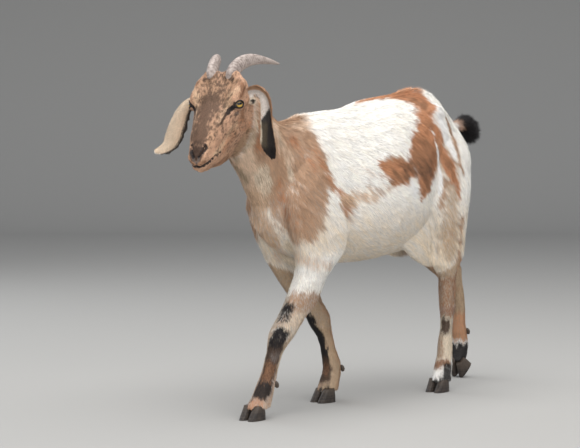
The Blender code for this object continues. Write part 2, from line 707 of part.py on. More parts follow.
def claw_mesh(name, foot, side, room=0):
    """One half of a cloven hoof: a wedge with an upright heel and a sloping toe."""
    ovals = []
    for height, front, back, wide in HOOF:
        middle, reach = (front + back) / 2, (front - back) / 2 + room
        centre = at(0, middle, height * (1 + room / HOOF_TALL))
        ovals.append(Oval(centre, HOOF_HALF * wide + room, reach, reach, 2.6))
    mesh = stack(name, ovals, UP, AHEAD, count=12, steps=1)
    splay = Matrix.Rotation(math.radians(-4 * side), 4, "Z")
    beside = Matrix.Translation(at(side * (HOOF_HALF + 0.0012), 0, 0))
    turn = Matrix.Rotation(math.radians(foot.turn), 4, "Z")
    lift = Matrix.Rotation(math.radians(foot.pitch), 4, "X")
    mesh.transform(Matrix.Translation(foot.toe) @ turn @ lift @ beside @ splay)
    return flat_below(mesh) if foot.pitch else mesh


def dewclaw_mesh(name, foot, side, room=0):
    centre = foot.fetlock + at(side * 0.0105, 0, 0)
    down = at(0, -0.5, -1)
    radii = [r + room for r in DEWCLAW]
    return lump(name, centre, (LEFT, LEFT.cross(down), down), radii, 8, 5)


# ---------------------------------------------------------------- assembly
clear_scene()
GOAT = collection("goat")
WORKSHOP = collection("workshop", shown=False)

body = flesh()
pieces = parted(body)


def seated(name, piece, finish, maker, *details, room=GAP):
    """A part made at its true size, and its seat cut in the flesh around it."""
    made = put(name, maker(name, *details), finish, GOAT)
    seat = put(f"seat of {name}", maker("seat", *details, room=room), finish, WORKSHOP)
    cut(pieces[piece], seat)
    return made


for label, side in (("left", 1), ("right", -1)):
    seated(f"eye_{label}", "head", "eye", eye_mesh, side)
    seated(f"horn_{label}", "head", "horn", horn_mesh, side)
for label, rows in (("left", EAR_LEFT), ("right", EAR_RIGHT)):
    seated(f"ear_{label}", "head", "coat_tan", ear_mesh, rows, room=EAR_ROOM)
for label, foot in FEET.items():
    shank = label.replace("_", "_shank_")
    for half, side in (("outer", 1), ("inner", -1)):
        side = side if "left" in label else -side
        seated(f"hoof_{label}_{half}", shank, "hoof", claw_mesh, foot, side)
        seated(f"dewclaw_{label}_{half}", shank, "hoof", dewclaw_mesh, foot, side)

for obj in bpy.data.objects:  # the frame starts on the floor, below the middle of the goat
    obj.data.transform(Matrix.Translation(-MIDDLE))
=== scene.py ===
# %% [markdown]
# # A goat in its short coat
#
# A goat is three things on top of each other: flesh that gives the form, skin that follows the
# flesh, and hair that covers the skin.  Here the flesh is a set of plain solids.  This lesson
# grows one skin over them, paints its markings, and then covers it with small tufts of hair.
# Eyes, horns and hooves are separate, as they are on the animal.

# %% The solids
import json
import math
from collections import namedtuple

import bmesh
import bpy
import numpy as np
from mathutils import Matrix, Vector
from mathutils.bvhtree import BVHTree
from mathutils.kdtree import KDTree

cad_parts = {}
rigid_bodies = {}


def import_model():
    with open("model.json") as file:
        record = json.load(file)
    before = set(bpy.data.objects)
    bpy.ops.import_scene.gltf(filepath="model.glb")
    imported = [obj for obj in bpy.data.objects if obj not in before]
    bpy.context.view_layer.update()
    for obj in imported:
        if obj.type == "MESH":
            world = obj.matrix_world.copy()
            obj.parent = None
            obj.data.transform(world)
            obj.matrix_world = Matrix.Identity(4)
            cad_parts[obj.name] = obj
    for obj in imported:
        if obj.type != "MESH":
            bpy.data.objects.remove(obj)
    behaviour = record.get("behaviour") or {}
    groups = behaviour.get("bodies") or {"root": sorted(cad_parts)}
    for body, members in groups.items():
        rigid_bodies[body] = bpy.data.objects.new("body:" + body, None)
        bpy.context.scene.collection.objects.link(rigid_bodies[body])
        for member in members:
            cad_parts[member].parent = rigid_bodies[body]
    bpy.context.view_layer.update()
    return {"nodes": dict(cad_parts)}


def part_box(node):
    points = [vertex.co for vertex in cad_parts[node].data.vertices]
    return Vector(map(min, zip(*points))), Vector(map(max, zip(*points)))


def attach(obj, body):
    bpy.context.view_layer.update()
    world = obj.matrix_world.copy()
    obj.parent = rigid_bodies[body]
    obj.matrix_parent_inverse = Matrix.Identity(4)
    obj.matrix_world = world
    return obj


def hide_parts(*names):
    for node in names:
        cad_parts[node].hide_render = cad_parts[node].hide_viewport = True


for obj in list(bpy.data.objects):
    bpy.data.objects.remove(obj, do_unlink=True)
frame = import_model()
SOLIDS = frame["nodes"]

# %% [markdown]
# Places are said the way a farmer would: so far to the goat's left, ahead and above the floor,
# in metres.  The head is turned and lowered, so it has directions of its own.  They are found
# from the two eyes, which lie straight across from each other.

# %% Directions on the body and on the head
MM = 0.001


def at(left, ahead, up):
    return np.array((left, -ahead, up), float)


def unit(v):
    return v / np.linalg.norm(v, axis=-1, keepdims=True)


LEFT, AHEAD, UP = at(1, 0, 0), at(0, 1, 0), at(0, 0, 1)
SIDES = {"left": 1, "right": -1}


def middle(node):
    low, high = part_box(node)
    return (np.array(low) + np.array(high)) / 2


EYE = {label: middle(f"eye_{label}") for label in SIDES}
EYE_RADIUS = (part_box("eye_left")[1].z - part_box("eye_left")[0].z) / 2
HEAD_LEFT = unit(EYE["left"] - EYE["right"])
HEAD_LEVEL = np.cross(HEAD_LEFT, UP)
FACE_DROP = math.radians(50)
FACE = HEAD_LEVEL * math.cos(FACE_DROP) - UP * math.sin(FACE_DROP)  # down the nose
BROW = HEAD_LEVEL * math.sin(FACE_DROP) + UP * math.cos(FACE_DROP)  # out of the forehead
EYE_ALONG, EYE_DEEP = 0.0627, -0.021
POLL = (EYE["left"] + EYE["right"]) / 2 - FACE * EYE_ALONG - BROW * EYE_DEEP


def on_head(along, out, brow):
    """A place on the head: down the face from the poll, out to its left, out of the forehead."""
    return POLL + FACE * along + HEAD_LEFT * out + BROW * brow


def in_head(points):
    """The same three numbers for many places, as columns."""
    away = points - POLL
    return away @ FACE, away @ HEAD_LEFT, away @ BROW


print("eyes", EYE_RADIUS / MM, "mm in radius; poll at", POLL.round(3))

# %% [markdown]
# Meshes are handled as arrays, because a hundred thousand vertices are slow to visit one by
# one.  These helpers read and write them, blur anything over a mesh, and make smooth noise.

# %% Small tools
def coords(mesh):
    flat = np.empty(len(mesh.vertices) * 3)
    mesh.vertices.foreach_get("co", flat)
    return flat.reshape(-1, 3)


def place(mesh, points):
    mesh.vertices.foreach_set("co", points.ravel())
    mesh.update()


def normals(mesh):
    flat = np.empty(len(mesh.vertices) * 3, np.float32)
    mesh.vertex_normals.foreach_get("vector", flat)
    return flat.reshape(-1, 3).astype(float)


def edge_ends(mesh):
    flat = np.empty(len(mesh.edges) * 2, np.int32)
    mesh.edges.foreach_get("vertices", flat)
    return flat.reshape(-1, 2).T


def blurred(mesh, values, passes, steps=(0.5,)):
    """Values on the vertices, averaged with their neighbours again and again."""
    a, b = edge_ends(mesh)
    count = len(mesh.vertices)
    links = np.maximum(np.bincount(np.concatenate([a, b]), minlength=count), 1)
    columns = [column.astype(float) for column in values.reshape(count, -1).T]
    for step in tuple(steps) * passes:
        for k, column in enumerate(columns):
            total = np.bincount(a, column[b], count) + np.bincount(b, column[a], count)
            columns[k] = column + step * (total / links - column)
    return np.stack(columns, 1).reshape(values.shape)


def ramp(x, low, high):
    """0 below low, 1 above high, and an S-curve between."""
    t = np.clip((x - low) / (high - low), 0, 1)
    return t * t * (3 - 2 * t)


def noise(points, size, seed=0):
    """Smooth noise from -1 to 1, with lumps of that size."""
    q = points / size
    cell = np.floor(q).astype(np.int64)
    part = q - cell
    part = part * part * (3 - 2 * part)
    total = np.zeros(len(points))
    for corner in range(8):
        bits = np.array([(corner >> k) & 1 for k in range(3)])
        x, y, z = (cell + bits).T
        mixed = (x * 73856093) ^ (y * 19349663) ^ (z * 83492791) ^ (seed * 2654435761 + 97)
        mixed = (mixed ^ (mixed >> 13)) * 1274126177
        value = ((mixed ^ (mixed >> 16)) & 0xFFFF) / 32767.5 - 1
        total += value * np.prod(np.where(bits, part, 1 - part), axis=1)
    return total


def chain_distance(points, route):
    """Signed distance to a chain of balls: each of the route's rows is x, y, z, radius."""
    route = np.array(route, float)
    if len(route) == 1:
        route = np.vstack([route, route])
    best = np.full(len(points), np.inf)
    for a, b in zip(route, route[1:]):
        line = b[:3] - a[:3]
        t = np.clip((points - a[:3]) @ line / max(line @ line, 1e-12), 0, 1)
        away = np.linalg.norm(points - (a[:3] + t[:, None] * line), axis=1)
        best = np.minimum(best, away - (a[3] + t * (b[3] - a[3])))
    return best


def metres(rows):
    """Rows in millimetres, as the tables have them, in metres."""
    return np.array(rows, float) / 1000


def keep(mesh, name, kind, values):
    """Stores an attribute on the vertices of a mesh."""
    made = mesh.attributes.new(name, kind, "POINT")
    field = {"FLOAT": "value", "FLOAT_COLOR": "color"}.get(kind, "vector")
    made.data.foreach_set(field, np.ascontiguousarray(values, dtype=np.float32).ravel())


def as_object(name, mesh):
    made = bpy.data.objects.new(name, mesh)
    bpy.context.scene.collection.objects.link(made)
    return made


def baked(obj):
    """The object's modifiers turned into a plain mesh of its own."""
    graph = bpy.context.evaluated_depsgraph_get()
    mesh = bpy.data.meshes.new_from_object(obj.evaluated_get(graph))
    old = obj.data
    obj.modifiers.clear()
    obj.data = mesh
    bpy.data.meshes.remove(old)
    return obj

# %% [markdown]
# The solids stop at the tips of the hair and are parted by thin gaps.  A voxel remesh welds
# them into one closed surface.  A few balls bridge the sockets that were cut for eyes, ears and
# horns, and a ring of small ones makes the rolled edge at the root of the left ear.
# The weld is fine enough for the head, so the body is thinned again afterwards, where hair
# will hide it.

# %% One skin
PARTS = ["head", "neck", "trunk", "tail", "ear_left", "ear_right"] + [
    f"{part}_{label}"
    for part in ("fore_leg", "fore_shank", "hind_leg", "hind_shank")
    for label in SIDES
]
WELD = 2.2 * MM
SKIN_FACES = 176000
MID_HEAD = on_head(0.10, 0, -0.04)
EAR_ROOT = {label: on_head(0.028, 0.046 * side, -0.044) for label, side in SIDES.items()}
HORN_ROOT = {label: on_head(-0.004, 0.025 * side, 0) for label, side in SIDES.items()}
CONCHA = at(0.064, 0.352, 0.694)  # the hollow under the arch of the left ear


def welded(nodes, balls):
    bm = bmesh.new()
    for node in nodes:
        bm.from_mesh(SOLIDS[node].data)
    bmesh.ops.remove_doubles(bm, verts=bm.verts, dist=1e-5)
    for centre, radius in balls:
        ball = bmesh.ops.create_icosphere(bm, subdivisions=3, radius=radius)
        bmesh.ops.translate(bm, verts=ball["verts"], vec=centre)
    mesh = bpy.data.meshes.new("skin")
    bm.to_mesh(mesh)
    bm.free()
    made = as_object("skin", mesh)
    weld = made.modifiers.new("weld", "REMESH")
    weld.mode = "VOXEL"
    weld.voxel_size = WELD
    return baked(made)


def thinned(obj, faces, care):
    """Collapses edges down to so many triangles, and spares the vertices where care is near 1."""
    group = obj.vertex_groups.new(name="thinned freely")
    for level in range(1, 11):
        chosen = np.flatnonzero(np.ceil((1 - care) * 10).clip(1, 10) == level)
        group.add(chosen.tolist(), level / 10 - 0.08, "REPLACE")
    thin = obj.modifiers.new("thin", "DECIMATE")
    thin.ratio = faces / (2 * len(obj.data.polygons))
    thin.vertex_group = group.name
    thin.vertex_group_factor = 3e-6
    thin.use_collapse_triangulate = True
    return baked(obj)


def kept_whole(mesh):
    """Deletes specks: whatever isn't joined to the rest of the skin."""
    bm = bmesh.new()
    bm.from_mesh(mesh)
    start = max(bm.verts, key=lambda vert: vert.co.z - 9 * (vert.co.x**2 + vert.co.y**2))
    joined, edge_of_search = {start}, [start]
    while edge_of_search:
        for edge in edge_of_search.pop().link_edges:
            for vert in edge.verts:
                if vert not in joined:
                    joined.add(vert)
                    edge_of_search.append(vert)
    loose = [vert for vert in bm.verts if vert not in joined]
    bmesh.ops.delete(bm, geom=loose, context="VERTS")
    bm.to_mesh(mesh)
    bm.free()
    return len(loose)


balls = [(EYE[label], EYE_RADIUS + 1.4 * MM) for label in SIDES]
balls += [(EAR_ROOT[label], 12.5 * MM) for label in SIDES]
balls += [(HORN_ROOT[label] + BROW * deep * MM, 16.5 * MM) for label in SIDES for deep in (-14, -6)]
for turn in np.radians([70, 40, 10, -25, -60, -95, -130, -165, -200]):
    rolled_edge = math.cos(turn) * unit(LEFT - AHEAD) + math.sin(turn) * UP
    balls.append((CONCHA + 6.0 * MM * rolled_edge, 2.5 * MM))
balls.append((CONCHA - 7.0 * MM * unit(LEFT + AHEAD), 7.5 * MM))
skin = welded(PARTS, balls)
print("welded skin:", len(skin.data.polygons), "quads")
place(skin.data, blurred(skin.data, coords(skin.data), 14, (0.55, -0.57)))
from_head = np.linalg.norm(coords(skin.data) - MID_HEAD, axis=1)
skin = thinned(skin, SKIN_FACES, care=1 - ramp(from_head, 0.10, 0.17))
specks = kept_whole(skin.data)
print("thinned skin:", len(skin.data.polygons), "triangles;", specks, "stray vertices deleted")

# %% [markdown]
# Every vertex learns which part of the animal it belongs to, from the nearest solid.  The
# answers are then blurred, so that what differs from part to part, such as the depth and the
# lie of the hair, changes softly.

# %% Parts of the skin
def nearest_part(points):
    corners, triangles, owner = [], [], []
    for index, part in enumerate(PARTS):
        mesh = SOLIDS[part].data
        mesh.calc_loop_triangles()
        first = len(corners)
        corners += [v.co[:] for v in mesh.vertices]
        triangles += [[first + v for v in t.vertices] for t in mesh.loop_triangles]
        owner += [index] * len(mesh.loop_triangles)
    tree = BVHTree.FromPolygons(corners, triangles)
    return np.array([owner[tree.find_nearest(p)[2]] for p in points.tolist()])


def shares_of(mesh, part, passes=12):
    """How far each vertex belongs to each part: one column for each, adding up to 1."""
    return blurred(mesh, np.eye(len(PARTS))[part], passes)


Hair = namedtuple("Hair", "depth length width count rise")
HAIR = {  # depth of the coat, a tuft's length and width, tufts per square centimetre, its rise
    "head": Hair(1.2 * MM, 4.6 * MM, 0.75 * MM, 62, 0.20),
    "ear": Hair(0.8 * MM, 4.2 * MM, 0.75 * MM, 52, 0.10),
    "neck": Hair(3.5 * MM, 16 * MM, 1.05 * MM, 30, 0.19),
    "trunk": Hair(3.5 * MM, 17 * MM, 1.00 * MM, 28, 0.14),
    "tail": Hair(6.0 * MM, 19 * MM, 1.1 * MM, 60, 0.80),
    "fore_leg": Hair(2.2 * MM, 10 * MM, 0.95 * MM, 33, 0.20),
    "hind_leg": Hair(2.2 * MM, 10 * MM, 0.95 * MM, 33, 0.20),
    "fore_shank": Hair(1.4 * MM, 6.5 * MM, 0.85 * MM, 38, 0.18),
    "hind_shank": Hair(1.4 * MM, 6.5 * MM, 0.85 * MM, 38, 0.18),
}
HAIR_OF = [HAIR[part.replace("_left", "").replace("_right", "")] for part in PARTS]

part_of = nearest_part(coords(skin.data))
shares = shares_of(skin.data, part_of)
depth = shares @ np.array([hair.depth for hair in HAIR_OF])
place(skin.data, coords(skin.data) - normals(skin.data) * depth[:, None])
print({part: int((part_of == k).sum()) for k, part in enumerate(PARTS)})

# %% [markdown]
# Muscles, bones and folds show through short hair.  Each is a chain of places that lifts the
# skin, or sinks it where the lift is negative, and fades out over its width.  The face needs
# finer triangles than the body, so those near the eyes, the nose and the mouth are split first.

# %% Finer triangles where the face has detail
def split_near(mesh, balls):
    """Splits the edges that lie inside any of the balls."""
    bm = bmesh.new()
    bm.from_mesh(mesh)
    chosen = [
        edge
        for edge in bm.edges
        if any((edge.verts[0].co - centre).length < reach for centre, reach in balls)
    ]
    bmesh.ops.subdivide_edges(bm, edges=chosen, cuts=1, use_grid_fill=False)
    bmesh.ops.triangulate(bm, faces=[face for face in bm.faces if len(face.verts) > 3])
    bm.to_mesh(mesh)
    bm.free()


NOSE_TIP = on_head(0.214, 0, -0.026)
fine = [(Vector(EYE[label]), 22 * MM) for label in SIDES]
split_near(skin.data, fine + [(Vector(NOSE_TIP), 42 * MM)])
print("skin with a finer face:", len(skin.data.polygons), "triangles")

# %% [markdown]
# The forms are written as tables, from the cheekbone to the thigh.  Those of the face are small,
# so each route is first draped: more places are put along it and moved onto the skin.  Nostrils,
# mouth and the groove between them are carved last, after a light blur, so that they stay sharp.

# %% Forms under the skin
Form = namedtuple("Form", "what lift width route")
HEAD_FORMS = [  # lift, width and route in mm: down the face, out, and out of the forehead
    Form("cheekbone", 2.2, 8, [(40, 52, -44), (85, 48, -40), (125, 36, -36)]),
    Form("hollow below the eye", -1.6, 8, [(92, 40, -14), (135, 34, -20)]),
    Form("side of the nose", -1.4, 9, [(120, 36, -46), (170, 32, -34)]),
    Form("bridge of the nose", 0.9, 10, [(70, 8, 6), (150, 7, 6)]),
    Form("temple", -2.2, 9, [(26, 54, -20), (40, 56, -30)]),
    Form("jaw muscle", 2.0, 18, [(60, 44, -85)]),
    Form("lip", 1.5, 5, [(168, 33, -42), (192, 30, -37), (214, 22, -24)]),
    Form("wing of the nostril", 1.8, 4.5, [(184, 21, -12), (199, 20, -14), (212, 12, -19)]),
    Form("chin", 1.4, 7, [(205, 8, -56)]),
]
NOSTRIL = [(186, 16.5, -8.5), (194, 15, -9.5), (203, 10.5, -11.5), (210, 6, -15)]
MOUTH = [
    (169, 30.5, -50.5), (183, 30, -45), (197, 26, -39), (209, 20, -35), (218, 12.5, -32.5), (224, 0, -32.5)
]
CARVED = [
    Form("nostril", -4.5, 1.9, NOSTRIL),
    Form("mouth", -2.6, 1.7, MOUTH),
    Form("groove under the nose", -1.2, 1.6, [(212, 0, -20), (226, 0, -34)]),
]
BODY_FORMS = [  # lift, width and route in mm: left, ahead and up
    Form("hollow of the flank", -7, 42, [(85, -150, 600)]),
    Form("edge of the ribs", 2, 16, [(100, -30, 640), (116, -100, 500), (110, -60, 400)]),
    Form("hip bone", 3, 16, [(70, -235, 672)]),
    Form("shoulder blade", 3, 16, [(45, 100, 650), (75, 180, 520), (78, 235, 460)]),
    Form("behind the shoulder", -4, 22, [(90, 55, 600), (108, 70, 430)]),
    Form("front of the shoulder", -3, 14, [(60, 215, 600), (70, 262, 500)]),
    Form("jugular groove", -2.5, 11, [(40, 330, 610), (55, 268, 470)]),
    Form("edge of the thigh", -3, 14, [(95, -205, 560), (100, -200, 430)]),
    Form("back of the thigh", -2.5, 12, [(70, -340, 560), (85, -330, 440)]),
]


def draped(route, body):
    """A route with more rows, each moved to the nearest place on the skin."""
    rows = np.array(route, float)
    steps = np.linspace(0, len(rows) - 1, 4 * len(rows) - 3)
    more = np.stack([np.interp(steps, np.arange(len(rows)), column) for column in rows.T], 1)
    for row in more:
        row[:3] = body[np.argmin(((body - row[:3]) ** 2).sum(1))]
    return more


def raised(mesh, forms, to_place):
    """Moves the skin along its normals by the forms, on both sides, but once on the middle line."""
    points, out = coords(mesh), normals(mesh)
    lift = np.zeros(len(points))
    for form in forms:
        for side in (1, -1):
            route = [(*to_place(row, side), 0) for row in metres(form.route)]
            if to_place is face_place:
                route = draped(route, points)
            away = chain_distance(points, route) / (form.width * MM)
            once = 0.5 if to_place is face_place and all(row[1] == 0 for row in form.route) else 1
            lift += once * form.lift * MM * np.exp(-away * away)
    place(mesh, points + out * lift[:, None])


def face_place(row, side):
    return on_head(row[0], side * row[1], row[2])


def body_place(row, side):
    return at(side * row[0], row[1], row[2])


raised(skin.data, BODY_FORMS, body_place)
raised(skin.data, HEAD_FORMS, face_place)
place(skin.data, blurred(skin.data, coords(skin.data), 1, (0.4,)))
raised(skin.data, CARVED, face_place)
print("forms on the head:", len(HEAD_FORMS) + len(CARVED), "and on the body:", len(BODY_FORMS))

# %% [markdown]
# A goat's eye looks sideways and a little forward.  Its lids meet in a point at each corner, so
# the opening is the shape of a lens.  Directions from the middle of the eyeball are measured as
# angles toward the nose and upward from the line of gaze.  The skin is pushed behind the
# eyeball inside the opening, and a pair of thick lids covers the edge.

# %% Eye sockets and lids
Gaze = namedtuple("Gaze", "centre out nose up")
LID_LONG, LID_UPPER, LID_LOWER = 58, 27, 30  # half the opening, in degrees
LOOKS = {"left": (0.74, 0.62), "right": (0.93, 0.34)}  # how far out, and how far ahead


def gaze_of(label):
    aside, ahead = LOOKS[label]
    out = unit(SIDES[label] * HEAD_LEFT * aside + HEAD_LEVEL * ahead + UP * 0.08)
    nose = HEAD_LEVEL - 0.12 * UP
    nose = unit(nose - out * (nose @ out))
    up = np.cross(out, nose) * -SIDES[label]
    return Gaze(EYE[label], out, nose, up * math.copysign(1, up @ UP))


GAZE = {label: gaze_of(label) for label in SIDES}


def lid_edge(turn):
    """The angle from the gaze to the edge of the opening, in the direction `turn`."""
    a = np.cos(turn) / LID_LONG
    b = np.sin(turn)
    b = np.where(b > 0, b / LID_UPPER, -b / LID_LOWER)
    a2 = np.maximum(a * a, 1e-9)
    return (-b + np.sqrt(b * b + 4 * a2)) / (2 * a2)


def eye_angles(points, gaze):
    """Distance from the eye's middle, share of the way to the lid's edge, and direction."""
    away = points - gaze.centre
    reach = np.linalg.norm(away, axis=1)
    x, y, z = away @ gaze.nose, away @ gaze.up, away @ gaze.out
    turn = np.arctan2(y, x)
    return reach, np.degrees(np.arctan2(np.hypot(x, y), z)) / lid_edge(turn), turn


def socketed(mesh, gaze):
    points = coords(mesh)
    reach, share, turn = eye_angles(points, gaze)
    near = reach < EYE_RADIUS + 5 * MM
    wanted = np.where(share < 1.12, EYE_RADIUS - 2.5 * MM, np.maximum(reach, EYE_RADIUS + 0.7 * MM))
    away = points - gaze.centre
    place(mesh, np.where(near[:, None], gaze.centre + away * (wanted / reach)[:, None], points))


LID_ROWS = [  # share of the way to the lid's edge, height over the eyeball
    (0.985, -0.3),
    (1.00, 0.9),
    (1.07, 1.9),
    (1.18, 2.4),
    (1.34, 2.2),
    (1.55, 1.6),
    (1.80, 0.6),
    (2.05, -0.8),
]


def lids(label, around=56):
    """Both lids as one ring, thick at the rim and sunk into the skin at its outer edge."""
    gaze = GAZE[label]
    bm = bmesh.new()
    rings = []
    for share, height in LID_ROWS:
        ring = []
        for k in range(around):
            turn = 2 * math.pi * k / around
            angle = math.radians(min(float(lid_edge(turn)) * share, 118))
            flat = gaze.nose * math.cos(turn) + gaze.up * math.sin(turn)
            reach = EYE_RADIUS + height * MM * (1.15 if math.sin(turn) > 0 else 0.85)
            way = gaze.out * math.cos(angle) + flat * math.sin(angle)
            ring.append(bm.verts.new(gaze.centre + reach * way))
        rings.append(ring)
    for a, b in zip(rings, rings[1:]):
        for k in range(around):
            n = (k + 1) % around
            bm.faces.new((a[k], a[n], b[n], b[k]))
    mesh = bpy.data.meshes.new(f"lids_{label}")
    bm.to_mesh(mesh)
    bm.free()
    made = as_object(f"lids_{label}", mesh)
    thick = made.modifiers.new("thick", "SOLIDIFY")
    thick.thickness = 0.5 * MM
    thick.offset = -1
    smooth = made.modifiers.new("smooth", "SUBSURF")
    smooth.levels = smooth.render_levels = 1
    return baked(made)


for label in SIDES:
    socketed(skin.data, GAZE[label])
LIDS = {label: lids(label) for label in SIDES}
print("eyes look out", {label: GAZE[label].out.round(2) for label in SIDES})

# %% [markdown]
# Hair lies in one direction at each place: back from the nose over the head, down the neck, back
# and down over the ribs, and straight down the legs.  Each part has its own rule, the rules are
# blended by the shares, and the result is laid flat on the skin.

# %% The lie of the coat
TAIL_ROOT = middle("tail") + AHEAD * (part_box("tail")[1].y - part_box("tail")[0].y) / 2


def share_of(shares, *names):
    return sum(shares[:, PARTS.index(name)] for name in names)


def lie_of(points, out, shares):
    ahead, up, left = -points[:, 1], points[:, 2], points[:, 0]
    steep = ramp(ahead, 0.08, 0.20) * 0.9 + ramp(-ahead, 0.16, 0.26) * 1.4
    steep = 0.70 + steep + ramp(-out[:, 2], 0.2, 0.9) * -0.4
    trunk = np.stack([0.18 * np.sign(left) * ramp(out[:, 2], 0.4, 0.9), np.ones_like(up), -steep], 1)
    neck = np.tile(at(0, -0.5, -0.87), (len(points), 1))
    legs = np.tile(at(0, -0.12, -1), (len(points), 1))
    along, over, brow = in_head(points)
    spread = np.clip(over / 0.05, -1, 1)[:, None] * HEAD_LEFT * 0.55
    head = -FACE + spread - BROW * (0.9 * ramp(-brow, 0.02, 0.07) * ramp(-along, -0.16, -0.05))[:, None]
    lie = trunk * share_of(shares, "trunk")[:, None] + neck * share_of(shares, "neck")[:, None]
    lie += head * share_of(shares, "head")[:, None]
    leg_names = [name for name in PARTS if "leg" in name or "shank" in name]
    lie += legs * share_of(shares, *leg_names)[:, None]
    for label in SIDES:
        lie += unit(points - EAR_ROOT[label]) * share_of(shares, f"ear_{label}")[:, None] * 1.5
    lie += unit(points - TAIL_ROOT) * share_of(shares, "tail")[:, None]
    lie = unit(lie - out * np.sum(lie * out, 1)[:, None])
    swirl = 0.24 * noise(points, 0.060, 3) + 0.10 * noise(points, 0.018, 4)
    side = np.cross(out, lie)
    return lie * np.cos(swirl)[:, None] + side * np.sin(swirl)[:, None]

# %% [markdown]
# The coat is white and cream, with tan on the neck and shoulders, red brown on the back and
# hips, and black on the knees.  A marking is a chain of balls with ragged edges.  On the body a
# route is given by how far ahead and how high it runs, and the skin says how far out that is.

